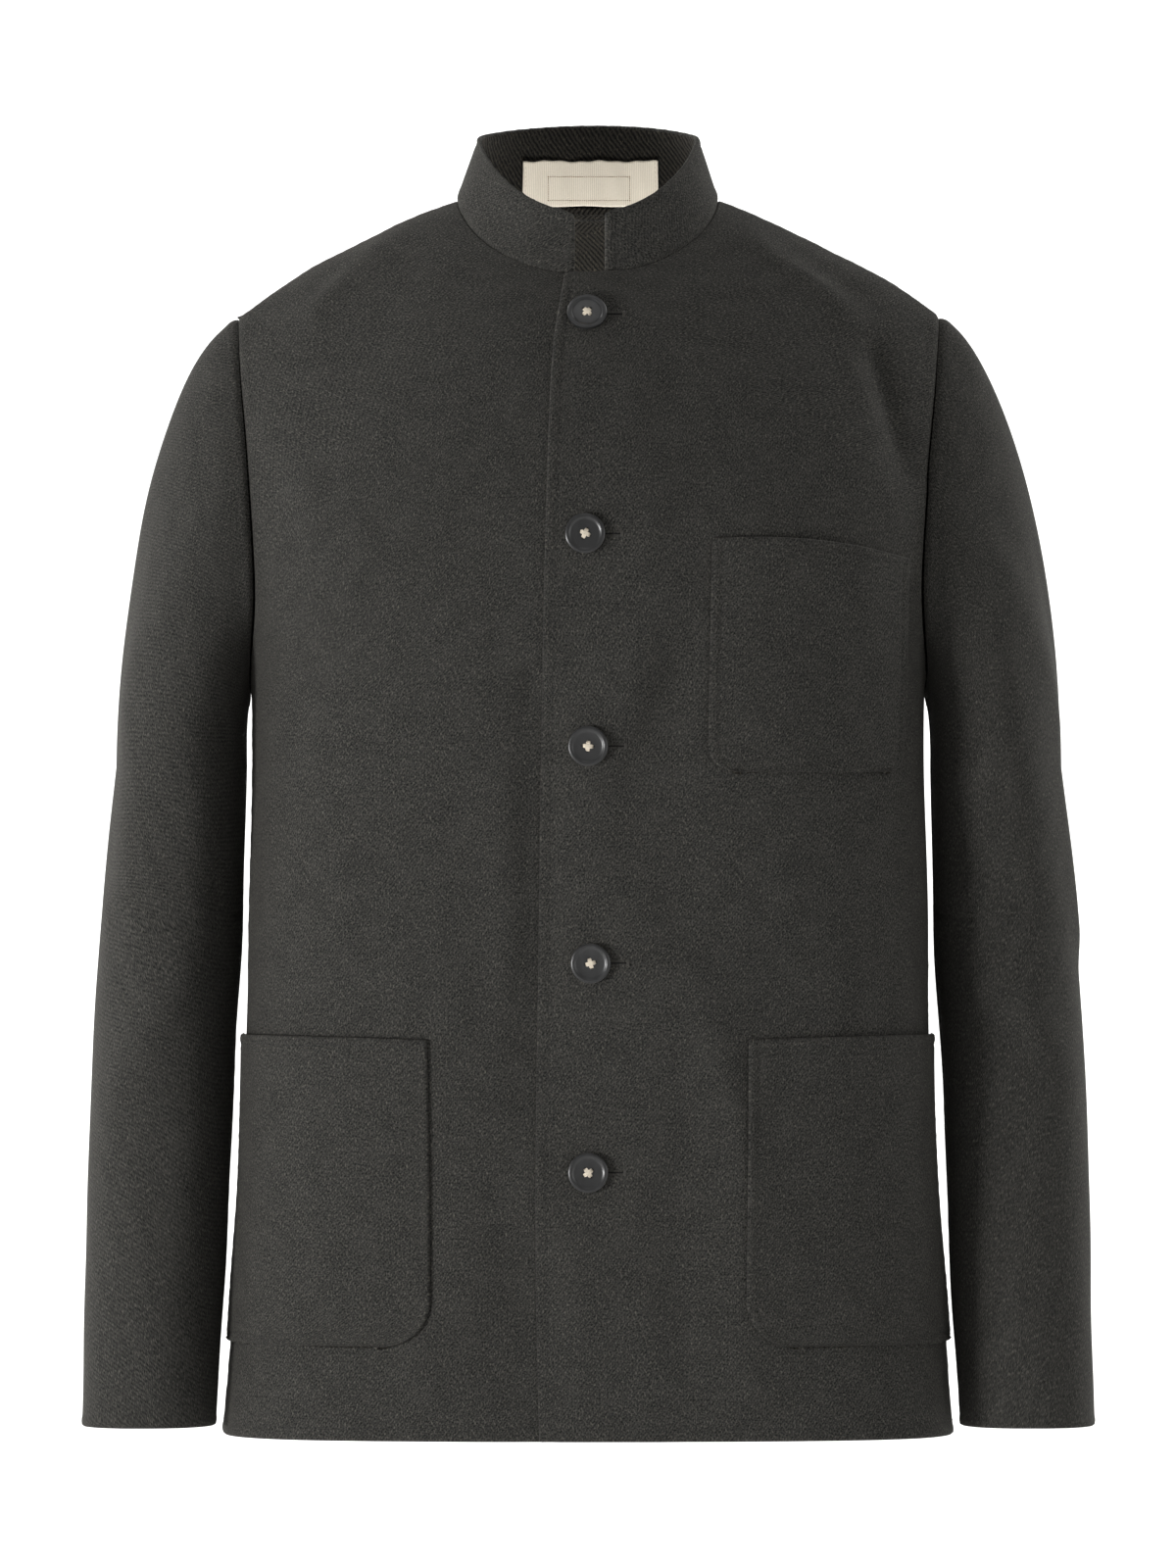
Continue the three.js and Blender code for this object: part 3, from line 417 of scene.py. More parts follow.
def plain_body(turn, z):
    """The body without folds. The turn goes from the centre front, through the side, to the centre back."""
    turn, z = np.broadcast_arrays(np.asarray(turn, float), np.asarray(z, float))
    s, c = np.sin(turn), np.cos(turn)
    n = square(z)
    reach = np.where(c >= 0, front_reach(z), back_reach(z))
    r = ((np.abs(s) / half_width(z)) ** n + (np.abs(c) / reach) ** n) ** (-1 / n)
    drop = shoulder_z(np.abs(r * s)) - z
    full = np.where(c >= 0, rounding(drop, FRONT_ROUND), rounding(drop, BACK_ROUND))
    return np.stack([r * s, -r * c * full, z], -1)


def unit(v):
    return v / np.maximum(np.linalg.norm(v, axis=-1, keepdims=True), 1e-9)


def body_normal(turn, z):
    """The way that the plain body faces."""
    across = plain_body(turn + 0.004, z) - plain_body(turn - 0.004, z)
    up = plain_body(turn, z + 1) - plain_body(turn, z - 1)
    return unit(np.cross(across, up))


def body(turn, z, raised=0.0, side=1):
    """The cloth's outer face with its folds, raised by some distance. Side -1 is the wearer's right."""
    p = plain_body(turn, z)
    x, z = side * p[..., 0], p[..., 2]
    to_side = clamp(np.abs(np.cos(turn)) * 5)
    near_shoulder = clamp((shoulder_z(np.abs(x)) - z) / 25)
    names = ("x0", "z0", "x1", "z1")
    front = fold_lift(FRONT_FOLDS, x, z, names) + crease_lift(FRONT_CREASES, x, z)
    back = fold_lift(BACK_FOLDS, x, z, names) + crease_lift(BACK_CREASES, x, z)
    lift = np.where(np.cos(turn) >= 0, front, back) * to_side * near_shoulder
    lift = lift + undulation(p * np.array([side, 1, 1]))
    return p + body_normal(turn, z) * (lift + raised)[..., None]


def turn_at_x(x, z):
    """The turn at which the front of the body has a given x."""
    return np.arctan2(x, ring_depth(x, z, front_reach(z)))


def turn_at_y(y, z):
    """The turn at which the wearer's left side of the body has a given y."""
    n = square(z)
    reach = np.where(np.asarray(y) < 0, front_reach(z), back_reach(z))
    return np.arctan2(half_width(z) * (1 - (np.abs(y) / reach) ** n) ** (1 / n), -np.asarray(y, float))


def neck_seam(turn):
    """The body's turn and height at a place on the neck seam, by the turn round the neck."""
    c = np.cos(turn)
    bend = (np.hypot(c, NECK_SOFT) - NECK_SOFT) / (math.hypot(1, NECK_SOFT) - NECK_SOFT)
    z = np.where(c >= 0, -NECK_SLOPE * c - NECK_BOWL * bend, -NECK_BACK * bend)
    x = NECK_HALF_WIDTH * np.sin(turn)
    reach = np.where(c >= 0, front_reach(z), back_reach(z))
    depth = ring_depth(x, z, reach)
    return np.arctan2(x, np.where(c >= 0, depth, -depth)), z


def armhole(share, is_front):
    """The body's turn and height at a place on the armhole, from the shoulder, 0, to the side seam, 1."""
    top = FRONT_ARMHOLE_TURN if is_front else BACK_ARMHOLE_TURN
    shoulder = float(UNDERARM_Z)
    for _ in range(12):
        shoulder = float(shoulder_z(plain_body(top, shoulder)[0]))
    fall = (1 - np.cos(math.pi * np.asarray(share, float))) / 2
    side = turn_at_y(SIDE_SEAM_Y, UNDERARM_Z)
    return mix(top, side, fall**ARMHOLE_HOOK), mix(shoulder, UNDERARM_Z, fall)


TRIES = np.linspace(0, 1, 241)


def lengths(points):
    """The length of each row of points, up to each of them."""
    steps = np.linalg.norm(np.diff(points, axis=-2), axis=-1)
    return np.concatenate([np.zeros((*steps.shape[:-1], 1)), np.cumsum(steps, axis=-1)], axis=-1)


def spaced(curve, stations):
    """The shares of a curve at which the given parts of its length are reached."""
    along = lengths(curve(TRIES))
    return np.interp(np.asarray(stations) * along[-1], along, TRIES)


def body_rows(ends, level_to, shares, follow, top_line):
    """The turn and height of points along rows across the body, from the rows' two ends. A row is level up to
    one turn, and then it slopes, and near the shoulder it runs along the top line."""
    turn0, z0, turn1, z1 = (np.asarray(v, float)[:, None] for v in ends)
    follow = np.asarray(follow, float)[:, None]
    drop0 = top_line(plain_body(turn0, z0)[..., 0]) - z0
    drop1 = top_line(plain_body(turn1, z1)[..., 0]) - z1
    leaves = np.asarray(level_to)[:, None]
    turn = mix(turn0, turn1, shares)
    past = clamp((turn - leaves) / (turn1 - leaves))
    level = mix(z0, z1, past)
    z = level
    for _ in range(30):
        x = plain_body(turn, z)[..., 0]
        z = mix(z, mix(level, top_line(x) - mix(drop0, drop1, past), follow), 0.4)
    return turn, z


def crowded(count, length, low=True, high=True, first=0.7, growth=1.45):
    """Stations from 0 to 1 on a length in mm, close together where the cloth's edge rolls."""
    near = [0.0]
    step = first
    while step < length / count:
        near.append(near[-1] + step)
        step *= growth
    start = np.array(near) if low else np.array([0.0])
    end = length - np.array(near)[::-1] if high else np.array([length])
    middle = np.linspace(start[-1], end[0], max(3, count - len(start) - len(end) + 2))
    return np.concatenate([start, middle[1:-1], end]) / length


def grid_normals(grid, is_tube=False):
    """The way that each point of a grid of cloth faces."""
    if is_tube:
        around = np.concatenate([grid[:, -1:], grid, grid[:, :1]], axis=1)
    else:
        around = np.concatenate([grid[:, :1], grid, grid[:, -1:]], axis=1)
    tall = np.concatenate([grid[:1], grid, grid[-1:]], axis=0)
    return unit(np.cross(around[:, 2:] - around[:, :-2], tall[2:] - tall[:-2]))


STITCH_IN = 5.2
PLUMP = {"high": 0.40, "at": 2.4, "wide": 1.8}
TROUGH = {"deep": 0.42, "wide": 0.9}
PUCKER = {"high": 0.13, "wide": 4.2}
SEAM_BANK = {"high": 0.34, "pucker": 0.12, "at": 5.0, "wide": 3.0}
SEAM_TURN_IN = {"deep": 0.8, "wide": 1.5}


def bump_at(away, at, wide):
    """A smooth hump of height 1 across a line."""
    return np.exp(-(((away - at) / wide) ** 2))


def sewn(grid, folded=(), stitched=(), seams=(), is_tube=False, start_free_to=1e9):
    """Adds what sewing does to cloth: a folded edge is plump, a line of stitches lies in a small puckered
    trough, and the cloth turns in at a seam. The starting edge may be free only up to some height."""
    u = lengths(grid)
    v = lengths(grid.transpose(1, 0, 2)).T
    away = {"start": u, "end": u[:, -1:] - u, "bottom": v, "top": v[-1:] - v}
    along = {"start": v, "end": v, "bottom": u, "top": u}
    lift = np.zeros(grid.shape[:2])
    free = {"start": smooth((start_free_to - grid[:, :1, 2]) / 4), "end": 1.0, "bottom": 1.0, "top": 1.0}
    for edge in folded:
        lift += free[edge] * PLUMP["high"] * bump_at(away[edge], PLUMP["at"], PLUMP["wide"])
    for edge in stitched:
        s = along[edge]
        pucker = np.sin(s * 0.62 + 1.7 * np.sin(s * 0.051)) + 0.6 * np.sin(s * 1.37 + 0.8)
        dip = PUCKER["high"] * pucker * bump_at(away[edge], STITCH_IN, PUCKER["wide"])
        dip -= TROUGH["deep"] * bump_at(away[edge], STITCH_IN, TROUGH["wide"])
        lift += free[edge] * dip
    for edge in seams:
        s = along[edge]
        pucker = np.sin(s * 0.31 + 2.1 * np.sin(s * 0.037)) + 0.7 * np.sin(s * 0.83 + 1.1)
        bank = SEAM_BANK["high"] + SEAM_BANK["pucker"] * pucker
        lift += bank * bump_at(away[edge], SEAM_BANK["at"], SEAM_BANK["wide"])
        lift -= SEAM_TURN_IN["deep"] * bump_at(away[edge], 0, SEAM_TURN_IN["wide"])
    return grid + grid_normals(grid, is_tube) * lift[..., None]


def mesh_of(name, xyz, faces, materials, slots=None, uv=None):
    """Makes a smooth-shaded object from points in mm and from faces of four corners."""
    mesh = bpy.data.meshes.new(name)
    mesh.vertices.add(len(xyz))
    mesh.vertices.foreach_set("co", (xyz * 0.001).ravel())
    mesh.loops.add(faces.size)
    mesh.loops.foreach_set("vertex_index", faces.ravel())
    mesh.polygons.add(len(faces))
    mesh.polygons.foreach_set("loop_start", np.arange(0, faces.size, 4))
    mesh.polygons.foreach_set("use_smooth", np.ones(len(faces), bool))
    for material in materials:
        mesh.materials.append(material)
    if slots is not None:
        mesh.polygons.foreach_set("material_index", slots)
    mesh.update(calc_edges=True)
    if uv is not None:
        layer = mesh.uv_layers.new(name="cloth")
        layer.data.foreach_set("uv", uv[faces.ravel()].ravel())
    piece = bpy.data.objects.new(name, mesh)
    bpy.context.collection.objects.link(piece)
    return piece


def shell(name, outer, thick, folded=(), is_tube=False, materials=None):
    """A closed wall of cloth behind a grid of outer points, whose rows run to the viewer's right as its face
    is seen. A folded edge is rounded over, and any other is a seam and is cut plain."""
    high, wide = outer.shape[:2]
    normal = grid_normals(outer, is_tube)
    if not is_tube:
        y = outer[..., 1]
        at_seam = (np.abs(y) < SEAM) | (np.abs(y - SIDE_SEAM_Y) < SEAM)
        normal[..., 1] = np.where(at_seam, 0.0, normal[..., 1])
        normal = unit(normal)
    inner = outer - normal * thick
    count = high * wide
    ids = np.arange(count).reshape(high, wide)
    if is_tube:
        ids = np.concatenate([ids, ids[:, :1]], axis=1)
    a, b, c, d = ids[:-1, :-1], ids[:-1, 1:], ids[1:, 1:], ids[1:, :-1]
    outside = np.stack([a, b, c, d], -1).reshape(-1, 4)
    inside = np.stack([a, d, c, b], -1).reshape(-1, 4) + count

    # The rim between the two faces has one more line of points, pushed out where the edge is folded.
    edges = {"bottom": (ids[0], False, outer[0] - outer[1]), "top": (ids[-1], True, outer[-1] - outer[-2])}
    if not is_tube:
        edges["start"] = (ids[:, 0], True, outer[:, 0] - outer[:, 1])
        edges["end"] = (ids[:, -1], False, outer[:, -1] - outer[:, -2])
    push = np.zeros((count, 3))
    on_rim = np.zeros(count, bool)
    for edge, (line, _, beyond) in edges.items():
        on_rim[line] = True
        if edge in folded:
            push[line[:len(beyond)]] += unit(beyond)
    rim_ids = np.full(count, -1)
    rim_ids[on_rim] = np.arange(on_rim.sum()) + 2 * count
    push /= np.maximum(np.linalg.norm(push, axis=1, keepdims=True), 1)
    middle = (outer.reshape(-1, 3) + inner.reshape(-1, 3)) / 2 + push * thick * 0.5
    rim_faces = []
    for line, is_backward, _ in edges.values():
        line = line[::-1] if is_backward else line
        p0, p1 = line[:-1], line[1:]
        r0, r1 = rim_ids[p0], rim_ids[p1]
        rim_faces.append(np.stack([p1, p0, r0, r1], -1))
        rim_faces.append(np.stack([r1, r0, p0 + count, p1 + count], -1))
    faces = np.concatenate([outside, inside, *rim_faces])
    slots = np.zeros(len(faces), int)
    slots[len(outside):len(outside) + len(inside)] = 1

    # The weave follows the cloth's own measure, across and up from the middle of its first row.
    u = lengths(outer)
    v = lengths(outer.transpose(1, 0, 2)).T
    flat = np.stack([u - u[:, wide // 2:wide // 2 + 1], v], -1).reshape(-1, 2) * 0.001
    uv = np.concatenate([flat, flat, flat[on_rim]])
    xyz = np.concatenate([outer.reshape(-1, 3), inner.reshape(-1, 3), middle[on_rim]])
    # The inner faces take the reverse flannel, whose darker colours are painted shade.
    return mesh_of(name, xyz, faces, materials or (flannel, shaded_reverse_flannel), slots, uv)


LAP_RAISE = {"flat_to": 30, "gone_by": 62}
LAP_RAISE_AT_NECK = {"flat_to": 10, "gone_by": 25}


def lap_raise(x, z):
    """How far the left front stands off the body's rings, because the right front lies under it."""
    seam_z = neck_seam(np.arcsin(np.clip(x / NECK_HALF_WIDTH, -1, 1)))[1]
    near_neck = smooth(1 - (seam_z - z) / 45)
    flat_to = mix(LAP_RAISE["flat_to"], LAP_RAISE_AT_NECK["flat_to"], near_neck)
    gone_by = mix(LAP_RAISE["gone_by"], LAP_RAISE_AT_NECK["gone_by"], near_neck)
    return (CLOTH + LYING_GAP) * smooth((gone_by - x) / (gone_by - flat_to))


def front_grid(edge_x, side, raise_by):
    """The outer points of a front. A row ends below on the free edge and the side seam, and above on the
    neck seam and the armhole."""
    arm = spaced(lambda s: plain_body(*armhole(1 - s, True)), TRIES)
    neck_start = math.asin(edge_x(EDGE_TOP_Z) / NECK_HALF_WIDTH)
    below = crowded(150, UNDERARM_Z - HEM_Z, high=False)[:-1]
    above = crowded(124, 340, low=False)
    z_below = mix(HEM_Z, UNDERARM_Z, below)
    k = above * (EDGE_ROWS + NECK_ROWS)
    z_edge = mix(UNDERARM_Z, EDGE_TOP_Z, clamp(k / EDGE_ROWS))
    neck_turn, neck_z = neck_seam(mix(neck_start, math.pi / 2, clamp((k - EDGE_ROWS) / NECK_ROWS)))
    arm_turn, arm_z = armhole(1 - np.interp(above, TRIES, arm), True)
    on_edge = k < EDGE_ROWS
    z0 = np.concatenate([z_below, np.where(on_edge, z_edge, neck_z)])
    turn0 = np.concatenate([turn_at_x(edge_x(z_below), z_below),
                            np.where(on_edge, turn_at_x(edge_x(z_edge), z_edge), neck_turn)])
    z1 = np.concatenate([z_below, arm_z])
    turn1 = np.concatenate([turn_at_y(SIDE_SEAM_Y - SEAM / 2, z_below), arm_turn])
    turn1[len(below)] = turn_at_y(SIDE_SEAM_Y - SEAM / 2, UNDERARM_Z)
    follow = np.concatenate([0 * z_below, smooth(above)])
    ends = (turn0, z0, turn1, z1)
    level_to = mix(turn0, LAP_TURN, smooth((LEVEL_BELOW_Z - z0) / LEVEL_FADE))

    def top_line(x):
        return shoulder_z(np.abs(x))

    along = lengths(plain_body(*body_rows(ends, level_to, TRIES[None, :], follow, top_line)))
    stations = crowded(128, 250)
    shares = np.array([np.interp(stations * row[-1], row, TRIES) for row in along])
    turn, z = body_rows(ends, level_to, shares, follow, top_line)
    grid = body(turn, z, raise_by(plain_body(turn, z)[..., 0], z), side)
    grid[-1, :, 1] = np.minimum(grid[-1, :, 1], -SEAM / 2)
    return grid


left_grid = sewn(
    front_grid(lap_edge_x, 1, lap_raise), folded=("start", "bottom"), stitched=("start",),
    seams=("end", "top"), start_free_to=EDGE_TOP_Z,
)
left_front = shell("left_front_cloth", left_grid, CLOTH, folded=("start", "bottom"))
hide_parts("front_left")
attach(left_front, "root")

# The right front lies under the left one by some 50 mm, buttoned to it. It is cut like the left one, with
# its free edge hidden, so it is made as the mirror image of a left front and then turned over.
UNDERLAP_EDGE = table("z x", [
    (-722, -26), (-110, -26), (-80, -21), (-46, -8),
])


def turned_over(grid):
    """The mirror image of a grid of cloth, still running to the viewer's right."""
    return grid[:, ::-1] * np.array([-1.0, 1.0, 1.0])


right_grid = turned_over(sewn(
    front_grid(curve_of(UNDERLAP_EDGE, "z", "x"), -1, lambda x, z: 0 * x), folded=("bottom",),
    seams=("end", "top"),
))
right_front = shell("right_front_cloth", right_grid, CLOTH, folded=("end", "bottom"))
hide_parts("front_right")
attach(right_front, "root")

# The back is one piece from side seam to side seam. It has a shallow hollow for the neck, joins the fronts
# at the shoulder seams, and falls in long soft folds from the shoulder blades to the hem.
NECK_COLUMNS = 31


def neck_and_shoulder(x):
    """The height of the back's top edge: the neck seam in the middle, and the shoulder line past it."""
    turn = math.pi - np.arcsin(np.minimum(np.abs(x) / NECK_HALF_WIDTH, 1.0))
    return np.where(np.abs(x) < NECK_HALF_WIDTH, neck_seam(turn)[1], shoulder_z(np.abs(x)))


def back_grid():
    arm = spaced(lambda s: plain_body(*armhole(1 - s, False)), TRIES)
    below = crowded(150, UNDERARM_Z - HEM_Z, high=False)[:-1]
    above = crowded(100, 283, low=False)
    z_below = mix(HEM_Z, UNDERARM_Z, below)
    arm_turn, arm_z = armhole(1 - np.interp(above, TRIES, arm), False)
    z0 = np.concatenate([z_below, mix(UNDERARM_Z, float(neck_seam(math.pi)[1]), above)])
    z1 = np.concatenate([z_below, arm_z])
    turn1 = np.concatenate([turn_at_y(SIDE_SEAM_Y + SEAM / 2, z_below), arm_turn])
    turn1[len(below)] = turn_at_y(SIDE_SEAM_Y + SEAM / 2, UNDERARM_Z)
    follow = np.concatenate([0 * z_below, smooth(above)])
    ends = (np.full(len(z0), math.pi), z0, turn1, z1)
    points = plain_body(*body_rows(ends, ends[0], TRIES[None, :], follow, neck_and_shoulder))
    along = lengths(points)
    neck = np.linspace(0, 1, NECK_COLUMNS)
    shoulder = crowded(66, 200, low=False)[1:]
    shares = []
    for row, x, f in zip(along, points[..., 0], follow):
        corner = mix(row[-1] * 0.46, np.interp(NECK_HALF_WIDTH, x, row), f**2)
        stations = np.concatenate([neck * corner, mix(corner, row[-1], shoulder)])
        shares.append(np.interp(stations, row, TRIES))
    turn, z = body_rows(ends, ends[0], np.array(shares), follow, neck_and_shoulder)
    left = body(turn, z, 0.0, 1)
    right = body(turn, z, 0.0, -1) * np.array([-1.0, 1.0, 1.0])
    grid = np.concatenate([left[:, ::-1], right[:, 1:]], axis=1)
    grid[-1, :, 1] = np.maximum(grid[-1, :, 1], SEAM / 2)
    return grid


back_cloth = sewn(back_grid(), folded=("bottom",), seams=("start", "end", "top"))
back = shell("back_cloth", back_cloth, CLOTH, folded=("bottom",))
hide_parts("back")
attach(back, "root")

# Each sleeve is a tube of flannel, eased into the armhole with a full cap. It is sewn with an inner and a
# back seam, bent a little forward at the elbow by a short dart, and turned up at the cuff.
SLEEVE = table("z outer inner middle depth square", [
    (-332, 277.0, 200.5, 8, 73, 2.15),
    (-400, 284.0, 202.5, 11, 67, 2.2),
    (-440, 287.2, 203.6, 12, 63, 2.2),
    (-490, 290.3, 206.5, 8, 59, 2.2),
    (-560, 292.8, 209.5, 0, 54, 2.25),
    (-640, 294.8, 213.2, -11, 50, 2.3),
    (-716, 296.0, 217.8, -19, 47, 2.35),
])
CAP_START = {
    "shoulder": (0.52, 0.0, 0.24), "front": (0.46, 0.16, 0.3),
    "underarm": (0.2, 0.0, 0.7), "back": (0.46, -0.2, 0.3),
}
CAP_END_PULL = 0.96
CAP_END_Z = -332
CUFF_Z = -716
CAP_ROWS = 8
SLEEVE_SEAM = 0.4
INNER_SEAM_TURN = 168
BACK_SEAM_TURN = -128
# The folds are by the turn round the sleeve, in degrees, and by height.
LEFT_SLEEVE_FOLDS = table("turn0 z0 turn1 z1 width height", [
    (66, -205, 34, -320, 16, 2.4), (40, -320, 14, -440, 15, 2.6), (125, -380, 62, -428, 13, -2.6),
    (112, -450, 44, -520, 15, 2.2), (-60, -395, -140, -440, 14, 2.6), (-70, -450, -135, -400, 13, -2.2),
    (96, -560, 84, -700, 18, 1.8), (-100, -560, -84, -700, 18, 1.8),
])
RIGHT_SLEEVE_FOLDS = table("turn0 z0 turn1 z1 width height", [
    (74, -190, 50, -310, 15, 1.8), (60, -300, 70, -430, 14, 2.2), (120, -400, 52, -425, 12, -2.4),
    (100, -440, 56, -545, 16, 2.4), (-66, -380, -138, -432, 14, 2.4), (-64, -462, -130, -418, 13, -2.4),
    (86, -575, 94, -700, 18, 2.0), (-92, -550, -96, -700, 20, 1.6),
])
# The finer creases are by the turn round the sleeve, in mm of its middle radius of 40, and by height.
SLEEVE_RADIUS = 40
LEFT_SLEEVE_CREASES = table("path width height", [
    (((18, -150), (26, -240), (22, -330)), 9, 0.8),
    (((78, -300), (60, -350), (52, -410)), 8, -0.9),
    (((96, -412), (74, -424), (52, -428)), 6, -0.9),
    (((70, -372), (48, -392), (34, -398)), 7, 0.9),
    (((88, -446), (62, -470), (40, -500)), 8, 0.9),
    (((84, -470), (60, -500), (46, -540)), 7, -0.8),
    (((-52, -392), (-78, -410), (-100, -414)), 7, 1.0),
    (((-50, -440), (-74, -446), (-98, -436)), 7, 1.0),
    (((60, -600), (54, -650), (62, -700)), 9, -0.7),
    (((-40, -580), (-50, -640), (-44, -700)), 9, -0.7),
])
RIGHT_SLEEVE_CREASES = table("path width height", [
    (((22, -160), (34, -230), (30, -320)), 9, 0.8),
    (((84, -290), (66, -340), (58, -400)), 9, -0.9),
    (((98, -404), (80, -418), (54, -424)), 6, -1.0),
    (((90, -436), (66, -466), (50, -520)), 8, 0.9),
    (((76, -520), (62, -570), (66, -640)), 9, -0.8),
    (((-48, -384), (-74, -404), (-100, -408)), 7, 1.0),
    (((-52, -446), (-76, -450), (-96, -440)), 7, 1.0),
    (((-46, -590), (-52, -650), (-48, -704)), 9, -0.7),
])
ELBOW_DART = {"z": -421, "inner": 120, "long": 40, "fall": 5}
sleeve_at = {name: curve_of(SLEEVE, "z", name) for name in ("outer", "inner", "middle", "depth", "square")}


def sleeve_ring(turn, z):
    """A level ring of the left sleeve. The turn goes from its outer side over its front."""
    middle_x = (sleeve_at["outer"](z) + sleeve_at["inner"](z)) / 2
    half = (sleeve_at["outer"](z) - sleeve_at["inner"](z)) / 2
    n = sleeve_at["square"](z)
    s, c = np.sin(turn), np.cos(turn)
    r = ((np.abs(c) / half) ** n + (np.abs(s) / sleeve_at["depth"](z)) ** n) ** (-1 / n)
    return np.stack([middle_x + r * c, sleeve_at["middle"](z) - r * s, z + 0 * r], -1)


def groove(away, deep, wide):
    """The section across a seam or a dart: a thin trough between two soft banks."""
    return -deep * np.exp(-((away / wide) ** 2)) + 0.4 * deep * np.exp(-(((np.abs(away) - 4.5) / 3.0) ** 2))


def sleeve_sewing(degrees, z):
    """The lift of the sleeve's two long seams and of its elbow dart, which starts at the inner seam."""
    pucker = 1 + 0.25 * np.sin(z * 0.42 + 2 * np.sin(z * 0.06))
    settled = smooth((CAP_END_Z - z) / 60)
    lift = 0.0
    for turn in (INNER_SEAM_TURN, BACK_SEAM_TURN):
        lift = lift + settled * pucker * groove((degrees - turn) / 57.3 * SLEEVE_RADIUS, 0.7, 1.1)
    past = (ELBOW_DART["inner"] - degrees) / 57.3 * SLEEVE_RADIUS
    share = past / ELBOW_DART["long"]
    dart_z = ELBOW_DART["z"] - ELBOW_DART["fall"] * share
    along = smooth((share + 1.0) / 0.3) * smooth((1 - share) / 0.5)
    return lift + along * groove(z - dart_z, 1.1, 1.0)


def sleeve_grid(folds, creases, side):
    front_arm = spaced(lambda s: plain_body(*armhole(1 - s, True)), TRIES)
    back_arm = spaced(lambda s: plain_body(*armhole(1 - s, False)), TRIES)
    front_share = np.linspace(0, 1, 77)
    back_share = np.linspace(1, 0, 67)[1:-1]
    turn = math.pi * np.concatenate([front_share, 2 - back_share])
    hole_front = armhole(1 - np.interp(1 - front_share, TRIES, front_arm), True)
    hole_back = armhole(1 - np.interp(1 - back_share, TRIES, back_arm), False)
    hole_turn = np.concatenate([hole_front[0], hole_back[0]])
    hole_z = np.concatenate([hole_front[1], hole_back[1]])
    weights = [np.maximum(0, w) ** 2 for w in (np.cos(turn), np.sin(turn), -np.cos(turn), -np.sin(turn))]
    pulls = [CAP_START[name] for name in ("shoulder", "front", "underarm", "back")]
    set_off = 0
    for weight, (out, front, down) in zip(weights, pulls):
        set_off = set_off + weight[:, None] * np.array([out, -front, -down])
    start = body(hole_turn, hole_z, 0.0, side)
    start = start + SLEEVE_SEAM * unit(unit(set_off) + body_normal(hole_turn, hole_z))
    arm = sleeve_ring(turn, CAP_END_Z)
    fall = arm - sleeve_ring(turn, CAP_END_Z + 1.0)
    way = np.linalg.norm(start - arm, axis=1)[:, None]
    degrees = np.degrees(np.where(turn <= math.pi, turn, turn - 2 * math.pi))
    outward = np.stack([np.cos(turn), -np.sin(turn), 0 * turn], -1)
    cap = crowded(92, 240, high=False)
    arm_shares = crowded(140, CAP_END_Z - CUFF_Z, low=False)[1:]
    rows = []
    for s in cap:
        t = s**1.15
        point = (
            start * (2 * t**3 - 3 * t**2 + 1) + set_off * way * (t**3 - 2 * t**2 + t)
            + arm * (3 * t**2 - 2 * t**3) + fall * way * CAP_END_PULL * (t**3 - t**2)
        )
        rows.append(point)
    for s in arm_shares:
        rows.append(sleeve_ring(turn, mix(CAP_END_Z, CUFF_Z, s)))
    grid = np.array(rows)
    row_share = np.concatenate([cap * CAP_ROWS, np.full(len(arm_shares), 99.0)])[:, None]
    z = grid[..., 2]
    lift = fold_lift(folds, degrees, z, ("turn0", "z0", "turn1", "z1"))
    lift = lift + crease_lift(creases, degrees / 57.3 * SLEEVE_RADIUS, z)
    lift = lift * smooth((row_share - 1) / 3) + undulation(grid * np.array([side, 1, 1])) * smooth(row_share)
    lift = lift + sleeve_sewing(degrees, z)
    return grid + outward * lift[..., None]


def sleeve_shell(name, grid):
    """Closes a sleeve's grid, which runs down from the armhole to the cuff, into a tube of cloth."""
    return shell(name, grid, CLOTH, folded=("top",), is_tube=True)


left_sleeve_grid = sewn(
    sleeve_grid(LEFT_SLEEVE_FOLDS, LEFT_SLEEVE_CREASES, 1), folded=("top",), seams=("bottom",), is_tube=True,
)
right_sleeve_grid = turned_over(sewn(
    sleeve_grid(RIGHT_SLEEVE_FOLDS, RIGHT_SLEEVE_CREASES, -1), folded=("top",), seams=("bottom",),
    is_tube=True,
))
left_sleeve = sleeve_shell("left_sleeve_cloth", left_sleeve_grid)
right_sleeve = sleeve_shell("right_sleeve_cloth", right_sleeve_grid)
for piece, solid in ((left_sleeve, "sleeve_left"), (right_sleeve, "sleeve_right")):
    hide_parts(solid)
    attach(piece, "root")

# The stand collar is two layers of flannel over an interlining, seamed all round and turned out. It is sewn
# to the neck seam, leans in a little, and stands taller at the back, with a gap between its front ends.
COLLAR_CLOTH = 2.6
COLLAR_LIFT = 0.05
COLLAR_TOP = {
    "half_width": 64.4, "front": 70, "back": 48, "side_z": 37.4, "front_drop": 47.4, "back_rise": 8.6,
}
COLLAR_LEFT_X = 11
COLLAR_RIGHT_X = -9
COLLAR_LEFT_ROUND = 2
COLLAR_RIGHT_ROUND = 5


def collar_face(turn, up):
    """The collar's outer face, by turn round the neck and by share of its height."""
    low = plain_body(*neck_seam(turn))
    low[..., 2] += COLLAR_LIFT
    s, c = np.sin(turn), np.cos(turn)
    y = np.where(c >= 0, -COLLAR_TOP["front"] * c, -COLLAR_TOP["back"] * c)
    front_z = COLLAR_TOP["side_z"] - COLLAR_TOP["front_drop"] * clamp(c) ** 1.35
    back_z = COLLAR_TOP["side_z"] + COLLAR_TOP["back_rise"] * clamp(-c) ** 1.2
    top = np.stack([COLLAR_TOP["half_width"] * s, y, np.where(c >= 0, front_z, back_z)], -1)
    return mix(low, top, np.asarray(up)[..., None] if np.ndim(up) else up)


